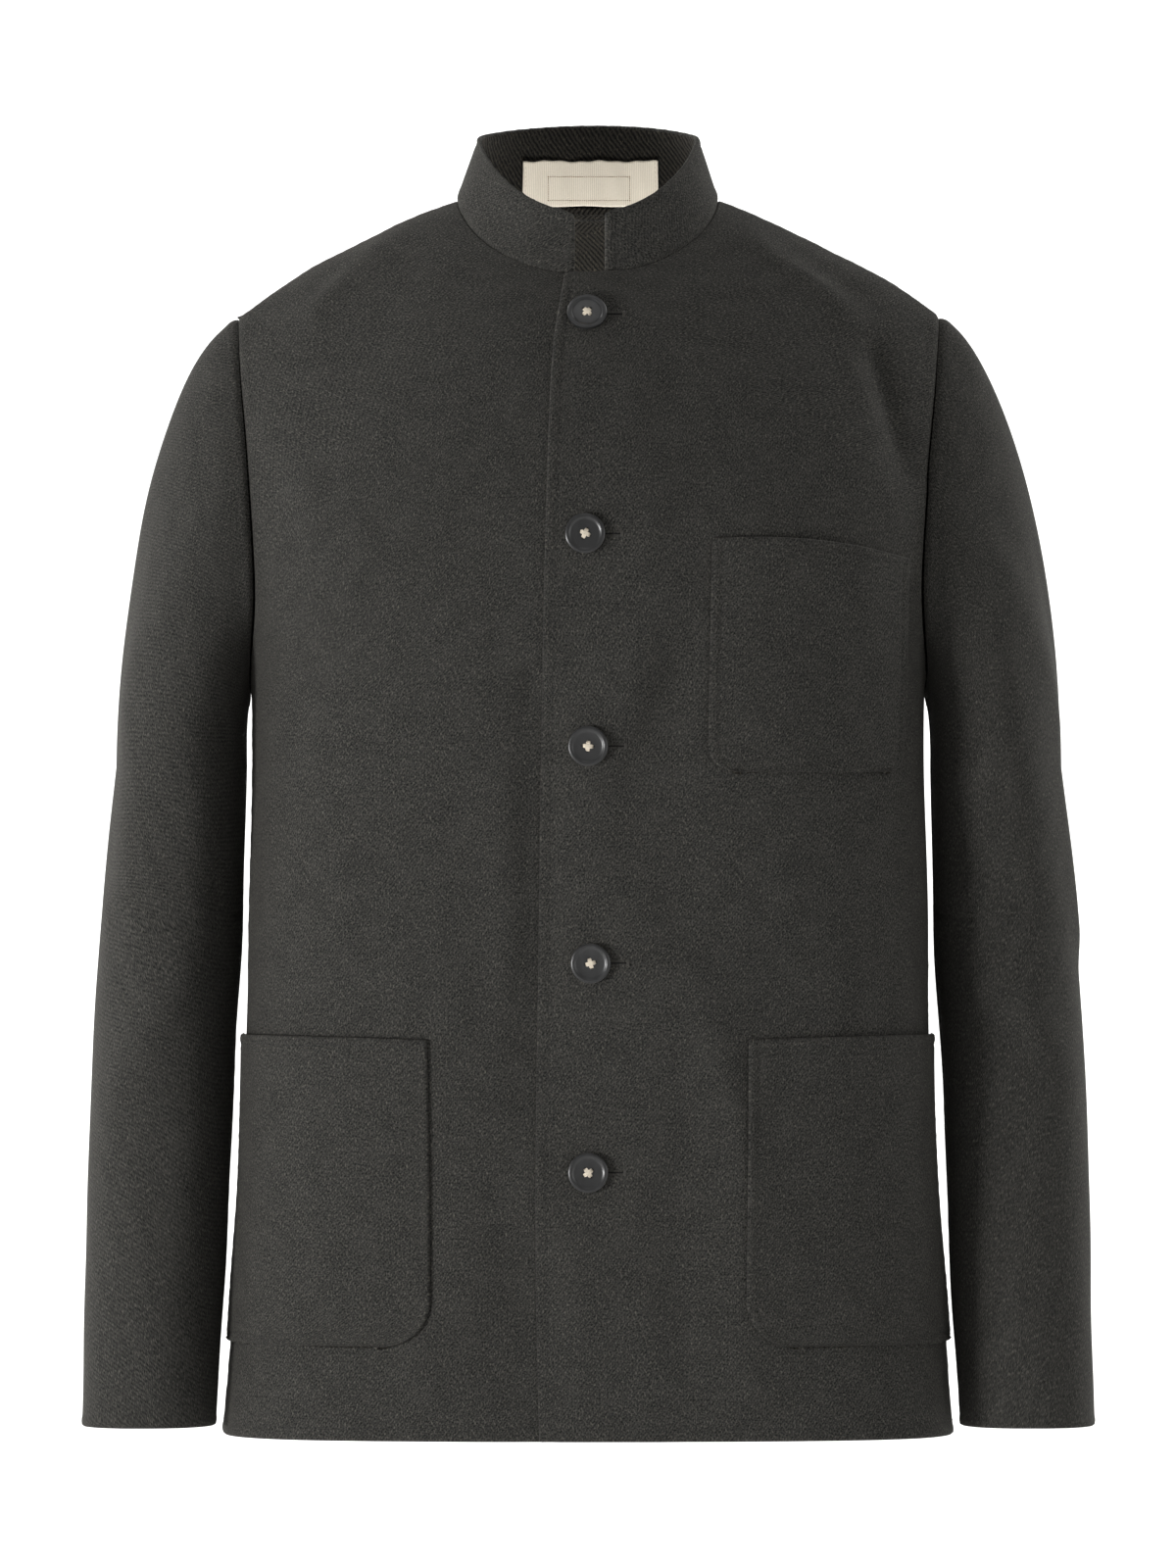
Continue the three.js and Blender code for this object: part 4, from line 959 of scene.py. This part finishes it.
def collar_turn_at(x, up):
    return math.asin(x / mix(NECK_HALF_WIDTH, COLLAR_TOP["half_width"], up))


def round_off(radius, height):
    """How far a round corner draws in the side of a piece, at a height from its end."""
    inside = np.clip(radius - np.asarray(height, float), 0, radius)
    return radius - np.sqrt(radius**2 - inside**2)


def collar_grid():
    high = COLLAR_TOP["side_z"] - COLLAR_TOP["front_drop"] + 46
    rows = []
    for up in crowded(26, high):
        down = (1 - up) * high
        left = collar_turn_at(COLLAR_LEFT_X + float(round_off(COLLAR_LEFT_ROUND, down)), up)
        right = 2 * math.pi + collar_turn_at(COLLAR_RIGHT_X - float(round_off(COLLAR_RIGHT_ROUND, down)), up)
        rows.append(collar_face(mix(left, right, crowded(220, 430)), float(up)))
    grid = np.array(rows)
    return grid + grid_normals(grid) * (0.6 * undulation(grid * 1.5))[..., None]


collar_cloth = sewn(
    collar_grid(), folded=("top", "start", "end"), stitched=("top", "start", "end"), seams=("bottom",),
)
collar = shell("collar_cloth", collar_cloth, COLLAR_CLOTH, folded=("top", "start", "end"))
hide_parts("collar")
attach(collar, "root")

# A flannel tape covers the neck seam inside the back, where it shows under the label. It is a short strip on
# the straight grain, sewn flat over the turnings of the seam.
NECK_TAPE = {"up": 5, "down": 9, "off": 0.35, "cloth": 1.2, "from_turn": 140}


def neck_tape():
    turn = np.radians(np.linspace(NECK_TAPE["from_turn"], 360 - NECK_TAPE["from_turn"], 90))
    seam_turn, seam_z = neck_seam(turn)
    seam_point = plain_body(seam_turn, seam_z)
    lean = unit(collar_face(turn, 1.0) - seam_point)
    inward = unit(np.array([0, 0, -20.0]) - seam_point) * np.array([1, 1, 0])
    rows = []
    for rise in np.linspace(-NECK_TAPE["down"], NECK_TAPE["up"], 12):
        up_collar = seam_point + lean * max(rise, 0)
        down_back = plain_body(seam_turn, seam_z + min(rise, 0))
        rows.append(up_collar + down_back - seam_point + unit(inward) * (COLLAR_CLOTH + NECK_TAPE["off"]))
    return np.array(rows)[:, ::-1]


# The tape takes the darker reverse flannel, whose colours are painted shade.
tape = shell("neck_tape_cloth", neck_tape(), NECK_TAPE["cloth"], folded=("top", "bottom"),
             materials=(shaded_reverse_flannel, shaded_reverse_flannel))
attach(tape, "root")

# The three patch pockets are flannel, turned in all round and pick-stitched to the fronts a few millimetres
# inside their edges. The lower two reach round to the side seams. Each mouth gapes a little.
POCKET_GAP = 0.7
POCKET_GAPE = 2.2
CHEST_POCKET = {
    "mouth": (-201, -212), "bow": 4, "bottom": -335, "inner": (72, 69.5), "outer": (186, 181),
    "inner_round": 16, "outer_round": 13,
}
HIP_POCKET = {
    "mouth": (-490, -489), "bow": 1, "bottom": -667, "inner": (93, 91.5), "side_y": 4,
    "inner_round": 27, "outer_round": 10,
}


def pocket_sides(pocket, height, inset=0.0):
    """The turns of a pocket's two sides at a height above its bottom, or of lines a little inside them."""
    up = height / (pocket["mouth"][0] - pocket["bottom"])
    level = pocket["bottom"] + height
    inner_round = float(round_off(pocket["inner_round"] - inset, height - inset))
    outer_round = float(round_off(pocket["outer_round"] - inset, height - inset))
    inner = mix(pocket["inner"][1], pocket["inner"][0], up) + inset + inner_round
    if "outer" in pocket:
        outer = turn_at_x(mix(pocket["outer"][1], pocket["outer"][0], up), level)
    else:
        outer = turn_at_y(pocket["side_y"], level)
    return turn_at_x(inner, level), outer - (inset + outer_round) / half_width(level)


def pocket_points(pocket, side, turn, height, share):
    """Points on a pocket's outer face, by turn, by height above its bottom, and by share across it."""
    high = pocket["mouth"][0] - pocket["bottom"]
    up = height / high
    bow = np.sin(math.pi * share)
    mouth = mix(pocket["mouth"][0], pocket["mouth"][1], share) + pocket["bow"] * bow
    z = mix(pocket["bottom"], mouth, up)
    return body(turn, z, CLOTH + POCKET_GAP + POCKET_GAPE * bow * up**5, side)


def pocket_grid(pocket, side, count):
    high = pocket["mouth"][0] - pocket["bottom"]
    deepest = max(pocket["inner_round"], pocket["outer_round"])
    corner = deepest * (1 - np.cos(np.linspace(0, math.pi / 2, 20)))
    rest = mix(deepest, high, crowded(int(count * 0.7), high - deepest, low=False)[1:])
    share = crowded(count, 120)
    rows = []
    for height in np.concatenate([corner, rest]):
        inner, outer = pocket_sides(pocket, height)
        rows.append(pocket_points(pocket, side, mix(inner, outer, share), height, share))
    all_round = ("start", "end", "top", "bottom")
    return sewn(np.array(rows), folded=all_round, stitched=all_round)


CHEST = pocket_grid(CHEST_POCKET, 1, 84)
LEFT_HIP = pocket_grid(HIP_POCKET, 1, 96)
RIGHT_HIP = turned_over(pocket_grid(HIP_POCKET, -1, 96))
pockets = (
    ("chest_pocket_cloth", "pocket_chest", CHEST, (0.135, 0.165), 0.0185),
    ("left_pocket_cloth", "pocket_left", LEFT_HIP, (0.225, 0.215), 0.041),
    ("right_pocket_cloth", "pocket_right", RIGHT_HIP, (0.225, 0.215), 0.041),
)
for name, solid, grid, flat, area in pockets:
    pocket = shell(name, grid, CLOTH, folded=("start", "end", "top", "bottom"))
    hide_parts(solid)
    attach(pocket, "root")

# The stitches are mercerised cotton thread, sewn by hand as small picks that sink into the flannel: along
# the front edge, round the collar and the pockets, and above the hem. Their ends go through the cloth.
PICK = {"spacing": 4.6, "long": 2.3, "thick": 0.5}


def thread(name, colour, roughness):
    """Twisted thread. It is a shade off the cloth, and dull, with a faint gleam along its turns."""
    made, tree = new_material(name)
    place = node(tree, "ShaderNodeTexCoord").outputs["Object"]
    turns = node(tree, "ShaderNodeTexNoise", {"Vector": place, "Scale": 2500.0, "Detail": 1.0}).outputs["Fac"]
    bump = node(tree, "ShaderNodeBump", {"Height": turns, "Strength": 0.4, "Distance": 0.0002}).outputs[0]
    coat = node(tree, "ShaderNodeBsdfPrincipled", {
        "Base Color": linear(colour), "Roughness": roughness, "Normal": bump, "Specular IOR Level": 0.3,
    })
    node(tree, "ShaderNodeOutputMaterial", {"Surface": coat.outputs[0]})
    return made


dark_thread = thread("cotton_thread_dark", "#161514", 0.7)


def socket(tree, name, kind, in_out="INPUT"):
    return tree.interface.new_socket(name, in_out=in_out, socket_type=kind).identifier


def finish_tree(tree, shape, material, name):
    """Makes a tree's shape real, gives it its material and puts it out under a name."""
    real = node(tree, "GeometryNodeRealizeInstances", {"Geometry": shape}).outputs[0]
    painted = node(tree, "GeometryNodeSetMaterial", {"Geometry": real, "Material": material}).outputs[0]
    node(tree, "NodeGroupOutput", {name: painted})


def stitch_tree():
    """Sets a small rounded stitch at even steps along a path, lying along it or across it."""
    tree = bpy.data.node_groups.new("stitches", "GeometryNodeTree")
    keys = {
        "path": socket(tree, "Path", "NodeSocketGeometry"),
        "spacing": socket(tree, "Spacing", "NodeSocketFloat"),
        "size": socket(tree, "Size", "NodeSocketVector"),
        "material": socket(tree, "Material", "NodeSocketMaterial"),
    }
    socket(tree, "Stitches", "NodeSocketGeometry", "OUTPUT")
    given = node(tree, "NodeGroupInput").outputs
    curve = node(tree, "GeometryNodeMeshToCurve", {"Mesh": given["Path"]}).outputs["Curve"]
    dots = node(tree, "GeometryNodeResampleCurve", {
        "Curve": curve, "Length": given["Spacing"],
    }, mode="LENGTH")
    tangent = node(tree, "GeometryNodeInputTangent").outputs[0]
    facing = node(tree, "GeometryNodeInputNamedAttribute", {"Name": "facing"}, data_type="FLOAT_VECTOR")
    along = node(tree, "FunctionNodeAlignRotationToVector", {"Vector": tangent}, axis="X").outputs[0]
    seated = node(tree, "FunctionNodeAlignRotationToVector", {
        "Rotation": along, "Vector": facing.outputs["Attribute"],
    }, axis="Z", pivot_axis="X").outputs[0]
    wobble = node(tree, "FunctionNodeRandomValue", {"Min": (0, 0, -0.12), "Max": (0, 0, 0.12), "Seed": 5},
                  data_type="FLOAT_VECTOR")
    turned = node(tree, "FunctionNodeRotateRotation", {
        "Rotation": seated, "Rotate By": wobble.outputs["Value"],
    }, rotation_space="LOCAL").outputs[0]
    ball = node(tree, "GeometryNodeMeshUVSphere", {"Segments": 8, "Rings": 5, "Radius": 0.5}).outputs["Mesh"]
    placed = node(tree, "GeometryNodeInstanceOnPoints", {
        "Points": dots.outputs[0], "Instance": ball, "Rotation": turned, "Scale": given["Size"],
    }).outputs[0]
    finish_tree(tree, placed, given["Material"], "Stitches")
    return tree, keys


STITCHES, STITCH_KEYS = stitch_tree()


def path_object(name, paths):
    """A mesh of plain edges along paths of points in mm, which keeps the way that the cloth faces there."""
    xyz = np.concatenate([points for points, _ in paths])
    facing = np.concatenate([normals for _, normals in paths])
    edges = []
    start = 0
    for points, _ in paths:
        edges += [(start + i, start + i + 1) for i in range(len(points) - 1)]
        start += len(points)
    mesh = bpy.data.meshes.new(name)
    mesh.from_pydata((xyz * 0.001).tolist(), edges, [])
    layer = mesh.attributes.new("facing", "FLOAT_VECTOR", "POINT")
    layer.data.foreach_set("vector", facing.ravel())
    made = bpy.data.objects.new(name, mesh)
    bpy.context.collection.objects.link(made)
    return made


def grown(name, paths, tree, keys, values):
    """Runs a node tree on some paths, keeps what it makes as a plain mesh, and drops the paths."""
    source = path_object(name + "_path", paths)
    modifier = source.modifiers.new("grow", "NODES")
    modifier.node_group = tree
    for key, value in values.items():
        modifier[keys[key]] = value
    ready = source.evaluated_get(bpy.context.evaluated_depsgraph_get())
    mesh = bpy.data.meshes.new_from_object(ready)
    source.modifiers.remove(modifier)
    bpy.data.objects.remove(source)
    mesh.name = name
    for face in mesh.polygons:
        face.use_smooth = True
    made = bpy.data.objects.new(name, mesh)
    bpy.context.collection.objects.link(made)
    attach(made, "root")
    return made


def stitches(name, paths, pick, material, crosswise=False):
    """Sews a row of stitches along each path, or across it."""
    size = [pick["thick"] * 0.001] * 3
    size[1 if crosswise else 0] = pick["long"] * 0.001
    values = {"spacing": pick["spacing"] * 0.001, "size": size, "material": material}
    return grown(name, paths, STITCHES, STITCH_KEYS, values)


def inset_line(grid, edge, inset, rows=slice(None), is_tube=False):
    """A path over a grid of cloth at a distance from one of its edges, with the way that the cloth faces."""
    facing = grid_normals(grid, is_tube)
    if edge in ("top", "bottom"):
        grid, facing = grid.transpose(1, 0, 2), facing.transpose(1, 0, 2)
    if edge in ("end", "top"):
        grid, facing = grid[:, ::-1], facing[:, ::-1]
    grid, facing = grid[rows], facing[rows]
    points = []
    ways = []
    for line, way, along in zip(grid, facing, lengths(grid)):
        points.append([np.interp(inset, along, line[:, k]) for k in range(3)])
        ways.append([np.interp(inset, along, way[:, k]) for k in range(3)])
    return np.array(points), unit(np.array(ways))


HEM_STITCH_IN = 7
left_start = inset_line(left_grid, "start", STITCH_IN, slice(5, -1))
front_edge_path = (left_start[0][left_start[0][:, 2] < -52], left_start[1][left_start[0][:, 2] < -52])
stitches("front_edge_stitches", [front_edge_path], PICK, dark_thread)
hem_paths = [
    inset_line(grid, "bottom", HEM_STITCH_IN, slice(4, -4))
    for grid in (left_grid, right_grid, back_cloth)
]
stitches("hem_stitches", hem_paths, PICK, dark_thread)
collar_paths = [
    inset_line(collar_cloth, "top", STITCH_IN, slice(10, -10)),
    inset_line(collar_cloth, "start", STITCH_IN, slice(4, -6)),
    inset_line(collar_cloth, "end", STITCH_IN, slice(4, -6)),
]
stitches("collar_stitches", collar_paths, PICK, dark_thread)


def pocket_path(pocket, side):
    """The stitched line down one side of a pocket, round its bottom corners and up the other side."""
    high = pocket["mouth"][0] - pocket["bottom"]
    heights = np.concatenate([
        np.linspace(high - 3, 30, 60)[:-1], 30 - (30 - STITCH_IN) * np.sin(np.linspace(0, math.pi / 2, 24)),
    ])
    sides = [pocket_sides(pocket, height, STITCH_IN) for height in heights]
    turns = [inner for inner, _ in sides]
    across = np.linspace(sides[-1][0], sides[-1][1], 60)[1:-1]
    turns = np.concatenate([turns, across, [outer for _, outer in sides[::-1]]])
    heights = np.concatenate([heights, np.full(58, STITCH_IN), heights[::-1]])
    full = [pocket_sides(pocket, height) for height in heights]
    share = np.array([(turn - a) / (b - a) for turn, (a, b) in zip(turns, full)])
    points = pocket_points(pocket, side, turns, heights, share)
    facing = body_normal(turns, points[:, 2])
    points = points - facing * 0.25
    return points * np.array([side, 1, 1]), facing * np.array([side, 1, 1])


pocket_paths = [pocket_path(CHEST_POCKET, 1), pocket_path(HIP_POCKET, 1), pocket_path(HIP_POCKET, -1)]
pocket_paths += [inset_line(grid, "top", STITCH_IN, slice(8, -8)) for grid in (CHEST, LEFT_HIP, RIGHT_HIP)]
stitches("pocket_stitches", pocket_paths, PICK, dark_thread)

# The five buttons are turned from a dark horn-like resin, with a raised rim, a shallow dish and four holes.
# Each is sewn on with ecru thread, crossed through the holes, and stands just proud of the left front.
BUTTON = {"radius": 11.5, "thick": 3.4, "hole": 1.05, "hole_from_middle": 1.9, "seat": 0.35}
BUTTON_PROFILE = (
    (0, 0), (10.2, 0), (11.0, 0.35), (11.45, 1.1), (11.5, 2.3), (11.35, 2.95), (10.9, 3.3), (10.4, 3.4),
    (9.7, 3.38), (9.2, 3.2), (8.8, 2.85), (8.3, 2.6), (7.6, 2.5), (0, 2.5),
)
BUTTONS = table("x z", [
    (-0.5, -71), (-1.7, -198), (0.3, -320), (1.7, -445), (0.0, -566),
])

# Cast and turned resin, tumbled to a satin polish: it shows soft highlights round the rim and faint streaks.
resin, tree = new_material("polyester_resin_horn_like")
place = node(tree, "ShaderNodeTexCoord").outputs["Object"]
streak = node(tree, "ShaderNodeMapping", {"Vector": place, "Scale": (1.0, 1.0, 0.25)}).outputs[0]
cloud = node(tree, "ShaderNodeTexNoise", {"Vector": streak, "Scale": 260.0, "Detail": 3.0}).outputs["Fac"]
tint = node(tree, "ShaderNodeMix", {"Factor": cloud, "A": linear("#121212"), "B": linear("#2b2b2c")},
            data_type="RGBA")
coat = node(tree, "ShaderNodeBsdfPrincipled", {"Roughness": 0.34, "Specular IOR Level": 0.5, "IOR": 1.54})
tree.links.new(tint.outputs["Result"], coat.inputs["Base Color"])
node(tree, "ShaderNodeOutputMaterial", {"Surface": coat.outputs[0]})
ecru_thread = thread("cotton_thread_ecru", "#cdc3b2", 0.75)


def left_face(x, z):
    """A point on the outer face of the left front."""
    x, z = np.broadcast_arrays(np.asarray(x, float), np.asarray(z, float))
    return body(turn_at_x(x, z), z, lap_raise(x, z), 1)


def turned_button():
    """One button at the origin, facing +Z, with its four holes cut through."""
    round_count = 64
    rings = []
    for radius, height in BUTTON_PROFILE[1:-1]:
        turn = np.arange(round_count) / round_count * 2 * math.pi
        rings.append(np.stack([radius * np.cos(turn), radius * np.sin(turn), 0 * turn + height], -1))
    xyz = np.concatenate(rings)
    faces = []
    for i in range(len(rings) - 1):
        for k in range(round_count):
            m = (k + 1) % round_count
            faces.append((i * round_count + k, i * round_count + m, (i + 1) * round_count + m,
                          (i + 1) * round_count + k))
    faces.append(tuple(range(round_count))[::-1])
    faces.append(tuple((len(rings) - 1) * round_count + k for k in range(round_count)))
    blank = bpy.data.meshes.new("button_blank")
    blank.from_pydata((xyz * 0.001).tolist(), [], faces)
    blank_object = bpy.data.objects.new("button_blank", blank)
    bpy.context.collection.objects.link(blank_object)
    drills = bpy.data.meshes.new("button_drills")
    points = []
    sides = []
    for sx in (-1, 1):
        for sy in (-1, 1):
            start = len(points)
            for height in (-1.0, 6.0):
                for k in range(16):
                    turn = k / 16 * 2 * math.pi
                    points.append((sx * BUTTON["hole_from_middle"] + BUTTON["hole"] * math.cos(turn),
                                   sy * BUTTON["hole_from_middle"] + BUTTON["hole"] * math.sin(turn), height))
            for k in range(16):
                m = (k + 1) % 16
                sides.append((start + k, start + m, start + 16 + m, start + 16 + k))
            sides.append(tuple(start + k for k in range(16))[::-1])
            sides.append(tuple(start + 16 + k for k in range(16)))
    drills.from_pydata([[v * 0.001 for v in p] for p in points], [], sides)
    drill_object = bpy.data.objects.new("button_drills", drills)
    bpy.context.collection.objects.link(drill_object)
    cut = blank_object.modifiers.new("holes", "BOOLEAN")
    cut.operation = "DIFFERENCE"
    cut.solver = "EXACT"
    cut.object = drill_object
    ready = blank_object.evaluated_get(bpy.context.evaluated_depsgraph_get())
    mesh = bpy.data.meshes.new_from_object(ready)
    blank_object.modifiers.remove(cut)
    bpy.data.objects.remove(blank_object)
    bpy.data.objects.remove(drill_object)
    mesh.materials.clear()
    mesh.materials.append(resin)
    for face in mesh.polygons:
        face.use_smooth = True
    mesh.set_sharp_from_angle(angle=math.radians(38))
    return mesh


def button_seat(x, z):
    """Where a button lies on the left front, and its three axes: across, up, and out of the cloth."""
    near = BUTTON["radius"] * 0.8
    across = left_face(x + near, z) - left_face(x - near, z)
    up = left_face(x, z + near) - left_face(x, z - near)
    out = unit(np.cross(across, up))
    middle = left_face(x, z)
    turn = np.linspace(0, 4 * math.pi, 49)[:-1]
    reach = np.where(np.arange(48) % 2, 1.0, 0.55) * BUTTON["radius"]
    rim = left_face(x + reach * np.cos(turn), z + reach * np.sin(turn))
    highest = float(np.max((rim - middle) @ out))
    right = unit(across - out * (across @ out))
    return middle + out * (max(highest, 0) + BUTTON["seat"]), np.array([right, np.cross(out, right), out])


button_mesh = turned_button()
thread_paths = []
for k, place in enumerate(BUTTONS):
    middle, axes = button_seat(place["x"], place["z"])
    spin = 0.35 * k
    twist = np.array([[math.cos(spin), math.sin(spin), 0], [-math.sin(spin), math.cos(spin), 0], [0, 0, 1]])
    axes = twist @ axes
    mesh = button_mesh.copy()
    points = np.zeros(len(mesh.vertices) * 3)
    mesh.vertices.foreach_get("co", points)
    placed = points.reshape(-1, 3) @ axes + middle * 0.001
    mesh.vertices.foreach_set("co", placed.ravel())
    mesh.update()
    button = bpy.data.objects.new(f"button_{k + 1}_turned", mesh)
    bpy.context.collection.objects.link(button)
    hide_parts(f"button_{k + 1}")
    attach(button, "root")
    for diagonal in (-1, 1):
        for strand in (-0.75, 0.0, 0.75):
            run = np.linspace(-1, 1, 9)
            x = BUTTON["hole_from_middle"] * run + strand * 0.7
            y = diagonal * (BUTTON["hole_from_middle"] * run - strand * 0.7)
            over = 2.5 + (0.42 if diagonal > 0 else 0.8) * np.sqrt(clamp(1 - run**4)) - 0.9 * run**8
            line = np.stack([x, y, over], -1) @ axes + middle
            thread_paths.append((line, np.tile(axes[2], (9, 1))))


def strand_tree():
    """Runs a round strand along each path."""
    tree = bpy.data.node_groups.new("strands", "GeometryNodeTree")
    keys = {
        "path": socket(tree, "Path", "NodeSocketGeometry"),
        "radius": socket(tree, "Radius", "NodeSocketFloat"),
        "material": socket(tree, "Material", "NodeSocketMaterial"),
    }
    socket(tree, "Strands", "NodeSocketGeometry", "OUTPUT")
    given = node(tree, "NodeGroupInput").outputs
    curve = node(tree, "GeometryNodeMeshToCurve", {"Mesh": given["Path"]}).outputs["Curve"]
    ring = node(tree, "GeometryNodeCurvePrimitiveCircle", {"Resolution": 8, "Radius": given["Radius"]})
    tube = node(tree, "GeometryNodeCurveToMesh", {
        "Curve": curve, "Profile Curve": ring.outputs["Curve"], "Fill Caps": True,
    }).outputs[0]
    finish_tree(tree, tube, given["Material"], "Strands")
    return tree, keys


STRANDS, STRAND_KEYS = strand_tree()


def strands(name, paths, radius, material):
    """Runs a strand of thread along each path."""
    return grown(name, paths, STRANDS, STRAND_KEYS, {"radius": radius * 0.001, "material": material})


strands("button_threads", thread_paths, 0.5, ecru_thread)

# The buttonholes are cut level in the left front, each worked round with close purl stitches in a thread
# that matches the wool, and closed by an upright bar. Each runs out from under its button, to the
# viewer's right.
HOLE = {"start": -3.5, "end": 20.5, "half": 1.0, "bar": 1.7}
PURL = {"spacing": 0.8, "long": 1.7, "thick": 0.55}
grey_thread = thread("silk_twist_charcoal", "#35332f", 0.55)
# A near-black material, made with the thread shader, is painted shade for the buttonhole slits.
slit_shade_material = thread("buttonhole_slit_shadow", "#050505", 0.9)
purl_paths = []
slit_shade_paths = []
bar_paths = []
for place in BUTTONS:
    x0 = place["x"] + HOLE["start"]
    x1 = place["x"] + HOLE["end"]
    run = np.linspace(x0, x1, 30)
    for rise in (-HOLE["half"], HOLE["half"]):
        turn = turn_at_x(run, place["z"] + rise)
        facing = body_normal(turn, place["z"] + rise)
        purl_paths.append((left_face(run, place["z"] + rise) + facing * 0.05, facing))
    facing = body_normal(turn_at_x(run, place["z"]), place["z"] + 0 * run)
    slit_shade_paths.append((left_face(run, place["z"]), facing))
    for shift in (0.2, 0.75, 1.3):
        rise = place["z"] + np.linspace(-HOLE["bar"], HOLE["bar"], 7)
        bar_facing = body_normal(turn_at_x(x1 + shift, rise), rise)
        arch = 0.3 * (1 - np.linspace(-1, 1, 7)[:, None] ** 4)
        bar_paths.append((left_face(x1 + shift, rise) + bar_facing * arch, bar_facing))
stitches("buttonhole_purls", purl_paths, PURL, grey_thread, crosswise=True)
# The slits are not cut open: a thin near-black strand lies along each one as painted shade inside the slit.
strands("buttonhole_slits", slit_shade_paths, 0.42, slit_shade_material)
strands("buttonhole_bars", bar_paths, 0.3, grey_thread)

# The neck label is a strip of unbleached cotton tape, ribbed across, and sewn flat to the inside of the
# collar. It is left bare: only the plain stitched frame in its middle is made, and no name.
LABEL = {"half_width": 41.5, "middle_x": 1.5, "low_z": -0.5, "high_z": 25.5, "gap": 0.5, "cloth": 0.8}
LABEL_FRAME = {"left": -24.2, "right": 25.3, "low": 2.6, "high": 16.6}
LABEL_RIB = 1.1

# Cotton tape in its natural cream, woven with upright ribs and never dyed: matt, with thin grey rib lines.
cotton, tree = new_material("cotton_tape_ribbed")
place = node(tree, "ShaderNodeUVMap", uv_map="cloth").outputs[0]
ribs = node(tree, "ShaderNodeTexWave", {
    "Vector": place, "Scale": 1000 / LABEL_RIB / 3.2, "Distortion": 0.5, "Detail": 2.0, "Detail Scale": 1.5,
}, wave_type="BANDS", bands_direction="X").outputs["Fac"]
slub = node(tree, "ShaderNodeTexNoise", {"Vector": place, "Scale": 900.0, "Detail": 3.0}).outputs["Fac"]
mixed = node(tree, "ShaderNodeMath", {0: slub, 1: 0.6, 2: ribs}, operation="MULTIPLY_ADD").outputs[0]
tone = node(tree, "ShaderNodeMapRange", {"Value": mixed, "From Min": 0.1, "From Max": 1.3}).outputs[0]
tint = node(tree, "ShaderNodeMix", {"Factor": tone, "A": linear("#c9bfae"), "B": linear("#e6ddcc")},
            data_type="RGBA")
bump = node(tree, "ShaderNodeBump", {"Height": mixed, "Strength": 0.5, "Distance": 0.0003}).outputs[0]
coat = node(tree, "ShaderNodeBsdfPrincipled", {"Roughness": 0.9, "Specular IOR Level": 0.2, "Normal": bump})
tree.links.new(tint.outputs["Result"], coat.inputs["Base Color"])
node(tree, "ShaderNodeOutputMaterial", {"Surface": coat.outputs[0]})
brown_thread = thread("cotton_thread_brown", "#84664a", 0.7)


def label_face(x, z):
    """A point on the label's face, which looks forward from the inside of the collar's back, and its way."""
    x, z = np.broadcast_arrays(np.asarray(x, float), np.asarray(z, float))
    up = np.full(x.shape, 0.3)
    turn = np.full(x.shape, math.pi)
    for _ in range(6):
        turn = math.pi - np.arcsin(x / mix(NECK_HALF_WIDTH, COLLAR_TOP["half_width"], up))
        low = collar_face(turn, 0.0)[..., 2]
        up = (z - low) / (collar_face(turn, 1.0)[..., 2] - low)
    across = collar_face(turn + 0.01, up) - collar_face(turn - 0.01, up)
    rise = collar_face(turn, up + 0.01) - collar_face(turn, up - 0.01)
    facing = -unit(np.cross(across, rise))
    off = COLLAR_CLOTH + LABEL["gap"] + LABEL["cloth"]
    wave = 0.25 * np.sin(x * 0.16 + 0.6) + 0.2 * np.sin(x * 0.37 + z * 0.12)
    return collar_face(turn, up) + facing * (off + 0.3 + wave)[..., None], facing


def label_strip():
    x = LABEL["middle_x"] + LABEL["half_width"] * np.linspace(-1, 1, 110)
    share = crowded(22, 26)[:, None]
    top = LABEL["high_z"] + 0.35 * np.sin(x * 0.21) - 0.25 * np.sin(x * 0.55 + 1)
    low = LABEL["low_z"] + 0.3 * np.sin(x * 0.17 + 2)
    points, _ = label_face(x[None, :] + 0 * share, mix(low[None, :], top[None, :], share))
    return points


label = shell("label_tape", label_strip(), LABEL["cloth"], folded=("top", "bottom"),
              materials=(cotton, cotton))
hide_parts("label")
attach(label, "root")
FRAME_STITCH = {"spacing": 1.25, "long": 1.1, "thick": 0.38}
EDGE_STITCH = {"spacing": 2.6, "long": 1.6, "thick": 0.4}
corners = [("left", "low"), ("right", "low"), ("right", "high"), ("left", "high"), ("left", "low")]
frame_paths = []
for (xa, za), (xb, zb) in zip(corners[:-1], corners[1:]):
    x = np.linspace(LABEL_FRAME[xa], LABEL_FRAME[xb], 24)
    z = np.linspace(LABEL_FRAME[za], LABEL_FRAME[zb], 24)
    frame_paths.append(label_face(x, z))
stitches("label_frame_stitches", frame_paths, FRAME_STITCH, brown_thread)
label_edges = []
for x in (LABEL["middle_x"] - LABEL["half_width"] + 1.6, LABEL["middle_x"] + LABEL["half_width"] - 1.6):
    label_edges.append(label_face(np.full(16, x), np.linspace(LABEL["low_z"] + 1, LABEL["high_z"] - 1, 16)))
stitches("label_edge_stitches", label_edges, EDGE_STITCH, ecru_thread)
